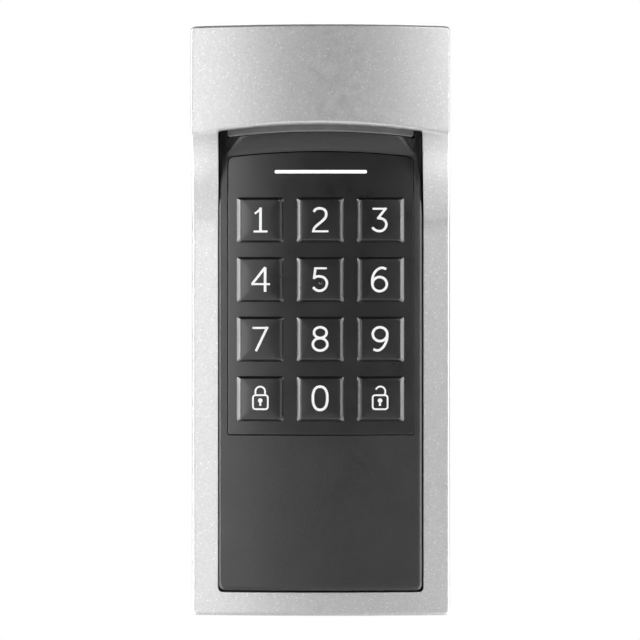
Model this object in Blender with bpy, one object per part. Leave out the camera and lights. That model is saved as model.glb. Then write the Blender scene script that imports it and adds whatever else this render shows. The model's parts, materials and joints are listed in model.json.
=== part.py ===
"""Keypad access reader: a battery-powered, wall-mounted code keypad under a rain hood.

Frame: the origin is the centre of the wall plate's back face. +Z is up and +Y points into the wall, so the
keys face -Y. "Depth" below is the distance in front of the wall, so a point at depth d has y = -d.
Lengths are written in millimetres and scaled to metres where the vertices are made.
"""

import math

import bmesh
import bpy
from mathutils import Matrix, Vector

MM = 0.001

# ---- Driving dimensions, in millimetres ------------------------------------------------------------------
WIDTH = 59.0  # over the silver hood bezel
HEIGHT = 134.0
BULGE_RADIUS = 160.0  # every front face is part of an upright cylinder of this radius
ARCH_RADIUS = 183.0  # lip, lens and top edge of the keypad are arcs of this radius
GAP = 0.2  # clearance between pieces that meet
FINE_GAP = 0.15

RAIL_DEPTH = 22.0  # front of the bezel's rails, on the centre line
HOOD_DEPTH = 36.0  # front of the hood at its lip
HOOD_TOP_DEPTH = 35.2
LIP_Z = 44.4  # lowest point of the hood's front wall, on the centre line
SWEEP_END_Z = 21.5  # where the swept cheeks run into the straight rails
DRAFT = 0.018  # how much narrower each side gets, per millimetre in front of the rails
CORNER_RADIUS = 0.9
BEZEL_WALL = 2.0
BEZEL_FLOOR = 2.4
BEZEL_BACK_DEPTH = 0.6
WINDOW_HALF_WIDTH = 23.5
WINDOW_BOTTOM_Z = -61.6

COVER_DEPTH = 23.2  # front of the black cover, on the centre line
COVER_HALF_WIDTH = 23.1
COVER_BOTTOM_Z = -61.2
COVER_TOP_Z = 50.0
COVER_CORNER = 1.2
COVER_SIDE_WALL = 1.8
COVER_FRONT_WALL = 2.8
FLANGE_BACK_DEPTH = 15.4
FLANGE_FRONT_DEPTH = 17.0
FLANGE_HALF_WIDTH = 27.0
FLANGE_BOTTOM_Z = -63.8
FLANGE_TOP_Z = 63.6

PANEL_HALF_WIDTH = 21.15  # the rubber keypad overlay
PANEL_BOTTOM_Z = -25.6
PANEL_TOP_Z = 38.8  # on the centre line; the edge is arched
PANEL_THICKNESS = 1.05
PANEL_CORNER = 0.7
PANEL_RECESS = 1.2
PANEL_LEDGE = 1.75

KEY_PITCH_X = 13.77
KEY_PITCH_Z = 13.58
KEY_TOP_ROW_Z = 23.3
KEY_WIDTH = 10.7
KEY_HEIGHT = 10.3
KEY_FLANK = 0.9  # width of the sloping flank round a key
KEY_RISE = 0.95  # how far a key stands out of the overlay
KEY_SHOULDER_DEPTH = 21.0  # back of the key's body
KEY_HOLE_GAP = 0.2
KEY_TRAVEL = 0.9
KEY_STEM = 4.0
KEY_NAMES = (
    ("key_1", "key_2", "key_3"),
    ("key_4", "key_5", "key_6"),
    ("key_7", "key_8", "key_9"),
    ("key_lock", "key_0", "key_unlock"),
)

COVE_RISE = 3.2  # how far the cover has swept forward where it meets the lens
COVE_END_FALL = 4.4  # width of the sweep's falling ends at the lens
SOFFIT_DEPTH = 33.4  # front of the ceiling under the hood
LENS_BOTTOM_Z = 43.3  # on the centre line
LENS_TOP_Z = 47.1
LENS_BACK_DEPTH = 17.3
LENS_FRONT_DEPTH = 27.0

BAR_Z = 34.4  # white status bar above the keys
BAR_HALF_LENGTH = 10.4
BAR_HALF_HEIGHT = 0.45
BAR_FOOT_HALF_LENGTH = 11.6
BAR_FOOT_HALF_HEIGHT = 1.2

BOARD_BACK_DEPTH = 13.6
BOARD_FRONT_DEPTH = 15.0
BOARD_HALF_WIDTH = 20.3
BOARD_BOTTOM_Z = -25.3
BOARD_TOP_Z = 50.0
DOME_SHEET_THICKNESS = 0.25
DOME_RADIUS = 2.6
DOME_RISE = 0.5

REAR_BACK_DEPTH = 3.0
REAR_RIM_DEPTH = 14.5
REAR_HALF_WIDTH = 27.0
REAR_BOTTOM_Z = -62.2
REAR_TOP_Z = 63.6
REAR_WALL = 1.6
REAR_FLOOR = 1.4

CELL_RADIUS = 5.25  # AAA cells
CELL_LENGTH = 44.5
CELL_NUB_LENGTH = 0.9
CELL_NUB_RADIUS = 1.9
CELL_DEPTH = 9.85
CELL_UPPER_Z = -38.2
CELL_LOWER_Z = -50.7
BAY_TOP_Z = -32.05
BAY_BOTTOM_Z = -56.7
BAY_WALL = 1.05
BAY_WALL_TOP_DEPTH = 14.0

DOOR_HALF_WIDTH = 22.55
DOOR_TOP_Z = -32.6
DOOR_BOTTOM_Z = -56.3
DOOR_PIN_Z = -33.4
DOOR_PIN_DEPTH = 3.7
DOOR_PIN_RADIUS = 0.5
DOOR_PIN_LENGTH = 1.1

PLATE_THICKNESS = 2.4
PLATE_HALF_WIDTH = 26.6
PLATE_BOTTOM_Z = -64.3
PLATE_TOP_Z = 61.5
PLATE_CORNER = 2.5
PLATE_WINDOW = (23.9, -58.5, -29.0)  # half width, bottom, top
SCREW_SLOT_Z = (-20.0, 40.0)  # wall screws at the usual 60 mm spacing
SLOT_LENGTH = 9.0
SLOT_WIDTH = 4.6
TAB_HALF_WIDTH = 6.0
TAB_DEPTH = 14.0
TAB_THICKNESS = 1.8
HOOK_X = 16.0
HOOK_HALF_WIDTH = 3.0
HOOK_NECK_Z = (38.0, 40.0)
HOOK_LIP_TOP_Z = 42.4
HOOK_LIP_DEPTH = (4.8, 6.4)
LOCK_SCREW_DEPTH = 9.0
LOCK_SCREW_RADIUS = 1.5
LOCK_HEAD_RADIUS = 2.6
LOCK_HEAD_HEIGHT = 1.2

CASE_SCREWS = ((-18.0, 57.0), (18.0, 57.0), (-18.0, -28.3), (18.0, -28.3))
CASE_SCREW_RADIUS = 1.25
CASE_HEAD_RADIUS = 2.0
CASE_POST_RADIUS = 2.6

TAMPER_X = 12.0
TAMPER_Z = 14.0
TAMPER_RADIUS = 2.0
TAMPER_TRAVEL = 1.2

COLUMNS = 12  # facets across the bulge
ROUND_SEGMENTS = 24


# ---- Materials -------------------------------------------------------------------------------------------
def material(name, colour, roughness, metallic=0.0):
    made = bpy.data.materials.new(name)
    made.use_nodes = True
    shader = made.node_tree.nodes["Principled BSDF"]
    shader.inputs["Base Color"].default_value = (*colour, 1.0)
    shader.inputs["Roughness"].default_value = roughness
    shader.inputs["Metallic"].default_value = metallic
    return made


def make_materials():
    return {
        "silver": material("silver_lacquer", (0.62, 0.62, 0.62), 0.38, 0.8),
        "black": material("black_plastic", (0.03, 0.03, 0.03), 0.5),
        "rubber": material("keypad_rubber", (0.022, 0.022, 0.023), 0.42),
        "lens": material("smoked_lens", (0.16, 0.16, 0.165), 0.3),
        "white": material("white_light_guide", (0.86, 0.86, 0.86), 0.3),
        "grey": material("grey_plastic", (0.22, 0.22, 0.23), 0.55),
        "board": material("green_board", (0.03, 0.16, 0.07), 0.45),
        "steel": material("bright_steel", (0.7, 0.7, 0.7), 0.3, 1.0),
        "spring": material("spring_steel", (0.62, 0.62, 0.64), 0.28, 1.0),
        "cell": material("cell_jacket", (0.09, 0.2, 0.4), 0.35, 0.3),
        "chip": material("chip_epoxy", (0.02, 0.02, 0.02), 0.6),
        "seal": material("seal_rubber", (0.05, 0.05, 0.055), 0.8),
        "film": material("dome_film", (0.72, 0.72, 0.68), 0.35),
        "red": material("red_insulation", (0.5, 0.02, 0.02), 0.5),
        "dark": material("black_insulation", (0.02, 0.02, 0.02), 0.5),
    }


# ---- Shape helpers ---------------------------------------------------------------------------------------
def bulge(x):
    """How much further back than the centre line a bulged face is at x."""
    return BULGE_RADIUS - math.sqrt(BULGE_RADIUS**2 - x * x)


def arch(x, crown):
    """Height at x of an arc whose highest point, on the centre line, is at crown."""
    return crown - (ARCH_RADIUS - math.sqrt(ARCH_RADIUS**2 - x * x))


def steps(start, end, count):
    return [start + (end - start) * i / count for i in range(count + 1)]


def point(x, depth, z):
    return Vector((x * MM, -depth * MM, z * MM))


def finish(name, bm, surface=None, smooth_angle=35.0):
    """An object from bm. Without a surface it is a cutter or a joined-in block, which isn't rendered."""
    bmesh.ops.recalc_face_normals(bm, faces=bm.faces)
    mesh = bpy.data.meshes.new(name)
    bm.to_mesh(mesh)
    bm.free()
    made = bpy.data.objects.new(name, mesh)
    bpy.context.scene.collection.objects.link(made)
    if surface is None:
        made.hide_render = True
        made.hide_viewport = False
        made.display_type = "WIRE"
    else:
        mesh.materials.append(surface)
        mesh.shade_smooth()
        mesh.set_sharp_from_angle(angle=math.radians(smooth_angle))
    return made


def loft(name, columns, surface=None):
    """A closed solid through columns, each the same number of (x, depth, z) points round a section."""
    bm = bmesh.new()
    rings = [[bm.verts.new(point(*p)) for p in column] for column in columns]
    count = len(rings[0])
    for first, second in zip(rings, rings[1:]):
        for i in range(count):
            j = (i + 1) % count
            bm.faces.new((first[i], first[j], second[j], second[i]))
    bm.faces.new(rings[0])
    bm.faces.new(reversed(rings[-1]))
    return finish(name, bm, surface)


def box(name, x_range, depth_range, z_range, surface=None):
    (x0, x1), (d0, d1), (z0, z1) = x_range, depth_range, z_range
    section = ((d0, z0), (d1, z0), (d1, z1), (d0, z1))
    return loft(name, [[(x, d, z) for d, z in section] for x in (x0, x1)], surface)


def slab(name, half_width, depths, z_range, follow=(True, True), surface=None, columns=COLUMNS):
    """A block across the object whose back and front faces can each follow the bulge."""
    made = []
    for x in steps(-half_width, half_width, columns):
        back, front = (d - bulge(x) * on for d, on in zip(depths, follow))
        low, high = z_range
        made.append([(x, back, low), (x, front, low), (x, front, high), (x, back, high)])
    return loft(name, made, surface)


def rounded_outline(half_width, bottom, top, radius, segments=4, centre=0.0, crown=None):
    """Corner points (x, z) of an upright rectangle with round corners, anticlockwise from the front.

    With a crown, the top edge is an arc of the house radius and the top argument isn't used.
    """
    side_top = top if crown is None else arch(half_width, crown)
    corners = (
        (half_width - radius, bottom + radius, -90),
        (half_width - radius, side_top - radius, 0),
        (-half_width + radius, side_top - radius, 90),
        (-half_width + radius, bottom + radius, 180),
    )
    outline = []
    for index, (x, z, start) in enumerate(corners):
        for turn in steps(start, start + 90, segments):
            angle = math.radians(turn)
            outline.append((centre + x + radius * math.cos(angle), z + radius * math.sin(angle)))
        if index == 1 and crown is not None:
            inner = half_width - radius
            outline += [(centre + at, arch(at, crown)) for at in steps(inner, -inner, 8)[1:-1]]
    return outline


def extrude_outline(name, outline, d0, d1, surface=None):
    """A prism of an (x, z) outline, from depth d0 to depth d1."""
    return loft(name, [[(x, d, z) for x, z in outline] for d in (d0, d1)], surface)


def rod(name, x, z, radius, d0, d1, surface=None, segments=ROUND_SEGMENTS):
    """A round bar square to the wall."""
    ring = [2 * math.pi * i / segments for i in range(segments)]
    outline = [(x + radius * math.cos(a), z + radius * math.sin(a)) for a in ring]
    return extrude_outline(name, outline, d0, d1, surface)


def turned(name, profile, matrix, surface=None, segments=ROUND_SEGMENTS):
    """A solid of revolution about local Z from (radius, height) points, ends closed on the axis."""
    bm = bmesh.new()
    rings = []
    for radius, height in profile:
        angles = [2 * math.pi * i / segments for i in range(segments)]
        points = [Vector((radius * math.cos(a), radius * math.sin(a), height)) for a in angles]
        rings.append([bm.verts.new(point * MM) for point in points])
    for first, second in zip(rings, rings[1:]):
        for i in range(segments):
            j = (i + 1) % segments
            bm.faces.new((first[i], first[j], second[j], second[i]))
    bm.faces.new(reversed(rings[0]))
    bm.faces.new(rings[-1])
    bm.transform(matrix)
    return finish(name, bm, surface)


def boolean(target, tool, operation):
    made = target.modifiers.new(f"{operation.lower()}_{tool.name}", "BOOLEAN")
    made.operation = operation
    made.solver = "EXACT"
    made.object = tool
    tool.hide_render = True
    tool.display_type = "WIRE"


def cut(target, *tools):
    for tool in tools:
        boolean(target, tool, "DIFFERENCE")


def join(target, *tools):
    for tool in tools:
        boolean(target, tool, "UNION")


def keep_inside(target, tool):
    boolean(target, tool, "INTERSECT")


# ---- Silver hood bezel -----------------------------------------------------------------------------------
def front_path(x, inset=0.0):
    """(depth, z) points down the bezel's front at x, from the top edge to the bottom, set in by a wall."""
    lip_z = arch(x, LIP_Z)
    start, end = Vector((HOOD_DEPTH, lip_z)), Vector((RAIL_DEPTH, SWEEP_END_Z))
    pull_start = start + Vector((-6.0, -3.2))
    pull_end = end + Vector((0.0, 10.0))
    path = [Vector((HOOD_TOP_DEPTH, HEIGHT / 2))]
    for t in steps(0.0, 1.0, 8):
        s = 1.0 - t
        path.append(start * s**3 + pull_start * 3 * s * s * t + pull_end * 3 * s * t * t + end * t**3)
    path.append(Vector((RAIL_DEPTH, -HEIGHT / 2)))
    if inset == 0.0:
        return [tuple(p) for p in path]
    moved = []
    for index, p in enumerate(path):
        before, after = path[max(index - 1, 0)], path[min(index + 1, len(path) - 1)]
        along = (after - before).normalized()
        moved.append(tuple(p + Vector((along.y, -along.x)) * inset))
    return moved


def bezel_columns(half_width, inset, top, bottom, back):
    """Sections of the bezel from side to side. The side faces lean in ahead of the rails."""
    columns = []
    for share in steps(-1.0, 1.0, COLUMNS):
        x = share * half_width
        section = [(back, top), *front_path(x, inset), (back, bottom)]
        section[1] = (section[1][0], top)
        section[-2] = (section[-2][0], bottom)
        column = []
        for depth, z in section:
            lean = DRAFT * max(depth - RAIL_DEPTH, 0.0)
            front = depth - bulge(x) if depth != back else depth
            column.append((share * (half_width - lean), front, z))
        columns.append(column)
    return columns


def make_bezel(surfaces):
    half, top = WIDTH / 2, HEIGHT / 2
    bezel = loft(
        "hood_bezel",
        bezel_columns(half, 0.0, top, -top, BEZEL_BACK_DEPTH),
        surfaces["silver"],
    )
    rounded = rounded_outline(half + 0.02, -top - 0.02, top + 0.02, CORNER_RADIUS)
    keep_inside(bezel, extrude_outline("bezel_corners", rounded, -1.0, 40.0))
    hollow = bezel_columns(half - BEZEL_WALL, BEZEL_WALL, top - BEZEL_WALL, -top + BEZEL_FLOOR, -1.0)
    cut(bezel, loft("bezel_hollow", hollow))
    window = rounded_outline(WINDOW_HALF_WIDTH, WINDOW_BOTTOM_Z, 0.0, 1.4, crown=LIP_Z + 0.25)
    cut(bezel, extrude_outline("bezel_window", window, 10.0, 45.0))
    screw = (0.0, LOCK_SCREW_DEPTH)
    counterbore_end = -HEIGHT / 2 + LOCK_HEAD_HEIGHT + GAP
    cut(
        bezel,
        upright_rod("lock_clearance", *screw, LOCK_SCREW_RADIUS + GAP, -70.0, -60.0),
        upright_rod("lock_counterbore", *screw, LOCK_HEAD_RADIUS + 0.3, -70.0, counterbore_end),
    )
    return bezel


def upright_rod(name, x, depth, radius, z0, z1, surface=None, segments=ROUND_SEGMENTS):
    place = Matrix.Translation(point(x, depth, 0.0))
    return turned(name, [(radius, z0), (radius, z1)], place, surface, segments)


# ---- Black front cover -----------------------------------------------------------------------------------
def make_cove():
    """The cover's forward sweep between the keypad's top edge and the lens. It falls away at both ends."""
    half = PANEL_HALF_WIDTH + 1.0
    columns = []
    for x in steps(-half, half, 2 * COLUMNS):
        low, high = arch(x, PANEL_TOP_Z + 2 * FINE_GAP), arch(x, LENS_BOTTOM_Z)
        face = COVER_DEPTH - bulge(x)
        column = [(x, face - 1.0, low), (x, face - 0.02, low)]
        for share in (0.35, 0.7, 1.0):
            fullness = min(1.0, (half - abs(x)) / (0.3 + COVE_END_FALL * share))
            column.append((x, face + COVE_RISE * share**1.6 * fullness, low + (high - low) * share))
        roof = arch(x, LENS_TOP_Z + 0.6)
        column += [(x, column[-1][1], roof), (x, face - 1.0, roof)]
        columns.append(column)
    return loft("cove", columns)


def make_soffit():
    """The ceiling under the hood, which closes the hollow above it."""
    columns = []
    back, top = FLANGE_FRONT_DEPTH + 0.5, COVER_TOP_Z - 0.1
    for x in steps(-COVER_HALF_WIDTH + 0.1, COVER_HALF_WIDTH - 0.1, COLUMNS):
        front, low = SOFFIT_DEPTH - bulge(x), arch(x, LENS_TOP_Z + 0.4)
        columns.append([(x, back, low), (x, front, low), (x, front, top), (x, back, top)])
    return loft("soffit", columns)


def panel_outline(grow, half_width=PANEL_HALF_WIDTH):
    return rounded_outline(
        half_width + grow,
        PANEL_BOTTOM_Z - grow,
        0.0,
        PANEL_CORNER + grow,
        crown=PANEL_TOP_Z + grow,
    )


def make_front_cover(surfaces):
    cover = slab(
        "front_cover",
        COVER_HALF_WIDTH,
        (FLANGE_BACK_DEPTH, COVER_DEPTH),
        (COVER_BOTTOM_Z, COVER_TOP_Z),
        follow=(False, True),
        surface=surfaces["black"],
    )
    slack = 0.02
    half, low, high = COVER_HALF_WIDTH + slack, COVER_BOTTOM_Z - slack, COVER_TOP_Z + slack
    outline = rounded_outline(half, low, high, COVER_CORNER)
    keep_inside(cover, extrude_outline("cover_corners", outline, 10.0, 30.0))
    flange = rounded_outline(FLANGE_HALF_WIDTH, FLANGE_BOTTOM_Z, FLANGE_TOP_Z, 2.0)
    join(cover, extrude_outline("cover_flange", flange, FLANGE_BACK_DEPTH, FLANGE_FRONT_DEPTH))
    inner = COVER_HALF_WIDTH - COVER_SIDE_WALL
    hollow = slab(
        "cover_hollow",
        inner,
        (10.0, COVER_DEPTH - COVER_FRONT_WALL),
        (COVER_BOTTOM_Z + COVER_SIDE_WALL, 36.8),
        follow=(False, True),
    )
    recess = extrude_outline("panel_recess_outline", panel_outline(FINE_GAP), 15.0, 30.0)
    floor = slab("panel_recess", 25.0, (COVER_DEPTH - PANEL_RECESS, 30.0), (-50.0, 45.0))
    keep_inside(recess, floor)
    ledge = PANEL_HALF_WIDTH - PANEL_LEDGE
    through = rounded_outline(ledge, PANEL_BOTTOM_Z + 2.1, 36.2, 0.5, segments=2)
    join(cover, make_cove())
    cut(
        cover,
        hollow,
        recess,
        extrude_outline("panel_window", through, 12.0, 30.0),
        extrude_outline("lens_slot", lens_outline(FINE_GAP), 12.0, 30.0),
    )
    join(cover, make_soffit())
    for index, (x, z) in enumerate(CASE_SCREWS, 1):
        low_boss = (FLANGE_BACK_DEPTH, COVER_DEPTH - COVER_FRONT_WALL)
        high_boss = (FLANGE_FRONT_DEPTH - 0.5, 22.0)
        ends = low_boss if z < 0 else high_boss
        join(cover, rod(f"cover_boss_{index}", x, z, CASE_POST_RADIUS, *ends))
        cut(cover, rod(f"cover_pilot_{index}", x, z, CASE_SCREW_RADIUS + FINE_GAP, 14.0, 20.2, segments=12))
    return cover


# ---- Hood light lens and status bar ----------------------------------------------------------------------
def lens_outline(grow=0.0):
    """The arched strip (x, z): both long edges are arcs, and its lower corners are round."""
    half, radius = PANEL_HALF_WIDTH + grow, 0.55
    bottom = [(x, arch(x, LENS_BOTTOM_Z - grow)) for x in steps(-half + radius, half - radius, 10)]
    corner = []
    for turn in steps(-90, 0, 3)[1:]:
        angle = math.radians(turn)
        low = bottom[-1][1] + radius
        corner.append((half - radius + radius * math.cos(angle), low + radius * math.sin(angle)))
    top = [(x, arch(x, LENS_TOP_Z + grow)) for x in steps(half, -half, 10)]
    return bottom + corner + top + [(-x, z) for x, z in reversed(corner)]


def make_lens(surfaces):
    lens = slab(
        "hood_light_lens",
        PANEL_HALF_WIDTH + 1.0,
        (LENS_BACK_DEPTH, LENS_FRONT_DEPTH),
        (40.0, 50.0),
        follow=(False, True),
        surface=surfaces["lens"],
    )
    keep_inside(lens, extrude_outline("lens_edges", lens_outline(), 10.0, 30.0))
    return lens


def make_status_bar(surfaces):
    """Light guide: a thin bar that shows in the overlay, on a wider foot above the status LEDs."""
    foot = box(
        "status_light_guide",
        (-BAR_FOOT_HALF_LENGTH, BAR_FOOT_HALF_LENGTH),
        (16.3, 21.3),
        (BAR_Z - BAR_FOOT_HALF_HEIGHT, BAR_Z + BAR_FOOT_HALF_HEIGHT),
        surfaces["white"],
    )
    join(foot, extrude_outline("status_bar_blade", bar_outline(0.0), 20.0, 25.0))
    heights = (BAR_Z - 3.0, BAR_Z + 3.0)
    keep_inside(foot, slab("bar_front", 13.0, (15.0, COVER_DEPTH), heights, follow=(False, True)))
    return foot


def bar_outline(grow):
    return rounded_outline(
        BAR_HALF_LENGTH + grow,
        BAR_Z - BAR_HALF_HEIGHT - grow,
        BAR_Z + BAR_HALF_HEIGHT + grow,
        BAR_HALF_HEIGHT,
    )


# ---- Keypad ----------------------------------------------------------------------------------------------
def key_places():
    for row, names in enumerate(KEY_NAMES):
        for column, name in enumerate(names):
            yield name, (column - 1) * KEY_PITCH_X, KEY_TOP_ROW_Z - row * KEY_PITCH_Z


def make_overlay(surfaces):
    overlay = extrude_outline("keypad_overlay", panel_outline(0.0), 18.0, 26.0, surfaces["rubber"])
    depths = (COVER_DEPTH - PANEL_THICKNESS, COVER_DEPTH)
    keep_inside(overlay, slab("overlay_sheet", 24.0, depths, (-40.0, 45.0)))
    half_w, half_h = KEY_WIDTH / 2 + KEY_HOLE_GAP, KEY_HEIGHT / 2 + KEY_HOLE_GAP
    for name, x, z in key_places():
        cut(overlay, box(f"hole_{name}", (x - half_w, x + half_w), (15.0, 30.0), (z - half_h, z + half_h)))
    cut(overlay, extrude_outline("bar_slot", bar_outline(FINE_GAP), 15.0, 30.0))
    return overlay


def key_columns(x_centre, z_centre):
    """Sections of one key: straight sides, then four sloping flanks up to a top that follows the bulge."""
    half, tall = KEY_WIDTH / 2, KEY_HEIGHT / 2
    inner = half - KEY_FLANK
    columns = []
    for offset in (-half, -inner, -inner / 3, inner / 3, inner, half):
        x = x_centre + offset
        surface = COVER_DEPTH - bulge(x)
        rise = 0.0 if abs(offset) == half else KEY_RISE
        sides = (
            (KEY_SHOULDER_DEPTH - bulge(x_centre), -tall),
            (surface, -tall),
            (surface + rise, -tall + KEY_FLANK),
            (surface + rise, tall - KEY_FLANK),
            (surface, tall),
            (KEY_SHOULDER_DEPTH - bulge(x_centre), tall),
        )
        columns.append([(x, depth, z_centre + z) for depth, z in sides])
    return columns


def make_keys(surfaces):
    dome_top = BOARD_FRONT_DEPTH + FINE_GAP + DOME_SHEET_THICKNESS + DOME_RISE
    stem_end = dome_top + FINE_GAP + KEY_TRAVEL
    for name, x, z in key_places():
        key = loft(name, key_columns(x, z), surfaces["rubber"])
        half = KEY_STEM / 2
        depths = (stem_end, KEY_SHOULDER_DEPTH + 0.3)
        stem = box(f"stem_{name}", (x - half, x + half), depths, (z - half, z + half))
        join(key, stem)


def make_dome_sheet(surfaces):
    """The film that holds a snap dome over each pair of contacts."""
    back = BOARD_FRONT_DEPTH + FINE_GAP
    depths = (back, back + DOME_SHEET_THICKNESS)
    sheet = box("dome_sheet", (-18.6, 18.6), depths, (-23.4, 29.4), surfaces["film"])
    for name, x, z in key_places():
        place = Matrix.Translation(point(x, back, z)) @ Matrix.Rotation(math.radians(90), 4, "X")
        low = DOME_SHEET_THICKNESS / 2
        shoulder = (DOME_RADIUS * 0.8, low + 0.4)
        profile = [(DOME_RADIUS, low), shoulder, (DOME_RADIUS * 0.4, 0.25 + DOME_RISE)]
        join(sheet, turned(f"dome_{name}", profile, place, segments=12))
    return sheet


# ---- Circuit board and what it carries -------------------------------------------------------------------
def make_board(surfaces):
    outline = rounded_outline(BOARD_HALF_WIDTH, BOARD_BOTTOM_Z, BOARD_TOP_Z, 1.5, segments=2)
    depths = (BOARD_BACK_DEPTH, BOARD_FRONT_DEPTH)
    board = extrude_outline("circuit_board", outline, *depths, surfaces["board"])
    front = BOARD_FRONT_DEPTH + FINE_GAP
    back = BOARD_BACK_DEPTH - FINE_GAP
    for index, x in enumerate((-12.0, 0.0, 12.0), 1):
        z = arch(x, (LENS_BOTTOM_Z + LENS_TOP_Z) / 2)
        depths = (front, front + 0.9)
        box(f"key_light_led_{index}", (x - 1.5, x + 1.5), depths, (z - 1.2, z + 1.2), surfaces["white"])
    for index, x in enumerate((-6.0, 6.0), 1):
        box(
            f"status_led_{index}",
            (x - 1.3, x + 1.3),
            (front, front + 0.8),
            (BAR_Z - 0.9, BAR_Z + 0.9),
            surfaces["white"],
        )
    box("radio_module", (-16.0, -2.0), (back - 2.0, back), (24.0, 44.0), surfaces["steel"])
    box("controller_chip", (-12.5, -4.5), (back - 1.1, back), (4.0, 12.0), surfaces["chip"])
    rod("sounder", 9.0, -10.0, 6.0, back - 3.2, back, surfaces["chip"])
    half = 3.0
    box(
        "tamper_switch",
        (TAMPER_X - half, TAMPER_X + half),
        (back - 1.8, back),
        (TAMPER_Z - half, TAMPER_Z + half),
        surfaces["chip"],
    )
    return board


def make_tamper_plunger(surfaces):
    """A pin that the wall holds in: when the reader leaves the wall it springs out and opens the switch."""
    back_end = BOARD_BACK_DEPTH - FINE_GAP - 1.8 - FINE_GAP
    turn = Matrix.Translation(point(TAMPER_X, 0.0, TAMPER_Z)) @ Matrix.Rotation(math.radians(90), 4, "X")
    collar = REAR_BACK_DEPTH + REAR_FLOOR + 1.6 + TAMPER_TRAVEL + 0.3
    profile = [
        (TAMPER_RADIUS - 0.5, 0.3),
        (TAMPER_RADIUS, 0.8),
        (TAMPER_RADIUS, collar),
        (TAMPER_RADIUS + 0.8, collar),
        (TAMPER_RADIUS + 0.8, collar + 1.0),
        (TAMPER_RADIUS * 0.6, collar + 1.0),
        (TAMPER_RADIUS * 0.6, back_end),
    ]
    return turned("tamper_plunger", profile, turn, surfaces["grey"], segments=16)


# ---- Rear housing, seal and battery door -----------------------------------------------------------------
def make_rear_housing(surfaces):
    outer = rounded_outline(REAR_HALF_WIDTH, REAR_BOTTOM_Z, REAR_TOP_Z, 2.0)
    housing = extrude_outline("rear_housing", outer, REAR_BACK_DEPTH, REAR_RIM_DEPTH, surfaces["black"])
    floor = REAR_BACK_DEPTH + REAR_FLOOR
    low, high = REAR_BOTTOM_Z + REAR_WALL, REAR_TOP_Z - REAR_WALL
    inner = rounded_outline(REAR_HALF_WIDTH - REAR_WALL, low, high, 1.0)
    cut(housing, extrude_outline("housing_hollow", inner, floor, 20.0))

    reach = REAR_HALF_WIDTH - REAR_WALL / 2
    middle = (CELL_UPPER_Z + CELL_LOWER_Z) / 2
    base = floor - 0.3
    bay_floor_z = (BAY_BOTTOM_Z - BAY_WALL, BAY_BOTTOM_Z)
    join(
        housing,
        box("bay_roof", (-reach, reach), (base, BAY_WALL_TOP_DEPTH), (BAY_TOP_Z, BAY_TOP_Z + BAY_WALL)),
        box("bay_floor", (-reach, reach), (base, BAY_WALL_TOP_DEPTH), bay_floor_z),
    )
    cradles = ((-24.5, -22.9), (22.9, reach))
    for index, x_range in enumerate(cradles, 1):
        rib = (middle - 0.45, middle + 0.45)
        join(housing, box(f"bay_rib_{index}", x_range, (base, 12.0), rib))
    for index, (x, z) in enumerate(CASE_SCREWS, 1):
        join(housing, rod(f"post_{index}", x, z, CASE_POST_RADIUS, base, FLANGE_BACK_DEPTH - GAP))
    for index, (x, z) in enumerate(((-16.5, 47.0), (16.5, 47.0), (-16.5, -22.0), (16.5, -22.0)), 1):
        join(housing, rod(f"board_rest_{index}", x, z, 1.8, base, BOARD_BACK_DEPTH - FINE_GAP, segments=12))
    guide = TAMPER_RADIUS + 1.3
    join(housing, rod("plunger_guide", TAMPER_X, TAMPER_Z, guide, base, floor + 1.6, segments=16))

    door_gap = 0.2
    door_x = (-DOOR_HALF_WIDTH - door_gap, DOOR_HALF_WIDTH + door_gap)
    pin_half = DOOR_PIN_RADIUS + 0.25
    pin_reach = DOOR_HALF_WIDTH + DOOR_PIN_LENGTH + 0.25
    pin_z = (DOOR_PIN_Z - pin_half, DOOR_PIN_Z + pin_half)
    hook_top, slot_x = HOOK_NECK_Z[1] + 0.3, HOOK_HALF_WIDTH + 0.4
    cut(
        housing,
        box("door_opening", door_x, (1.0, floor + 0.2), (DOOR_BOTTOM_Z - door_gap, DOOR_TOP_Z + 0.45)),
        box("pin_notches", (-pin_reach, pin_reach), (1.0, floor + 0.2), pin_z),
        rod("plunger_hole", TAMPER_X, TAMPER_Z, TAMPER_RADIUS + 0.2, 0.0, 8.0, segments=16),
        *(
            box(f"hook_slot_{i}", (x - slot_x, x + slot_x), (1.0, floor + 0.2), (hook_top - 5.4, hook_top))
            for i, x in enumerate((-HOOK_X, HOOK_X), 1)
        ),
    )
    head_end = REAR_BACK_DEPTH + 1.9
    for index, (x, z) in enumerate(CASE_SCREWS, 1):
        cut(
            housing,
            rod(f"shank_hole_{index}", x, z, CASE_SCREW_RADIUS + FINE_GAP, 2.0, 18.0, segments=12),
            rod(f"head_hole_{index}", x, z, CASE_HEAD_RADIUS + GAP, 2.0, head_end, segments=16),
        )
    return housing


def make_gasket(surfaces):
    """The seal squeezed between the rear housing's rim and the cover's flange."""
    outer = rounded_outline(REAR_HALF_WIDTH - 0.2, REAR_BOTTOM_Z + 0.2, REAR_TOP_Z - 0.2, 1.8)
    inner = rounded_outline(REAR_HALF_WIDTH - 1.4, REAR_BOTTOM_Z + 1.4, REAR_TOP_Z - 1.4, 1.2)
    depths = (REAR_RIM_DEPTH + FINE_GAP, FLANGE_BACK_DEPTH - FINE_GAP)
    gasket = extrude_outline("case_gasket", outer, *depths, surfaces["seal"])
    cut(gasket, extrude_outline("gasket_inside", inner, 10.0, 20.0))
    return gasket


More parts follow.
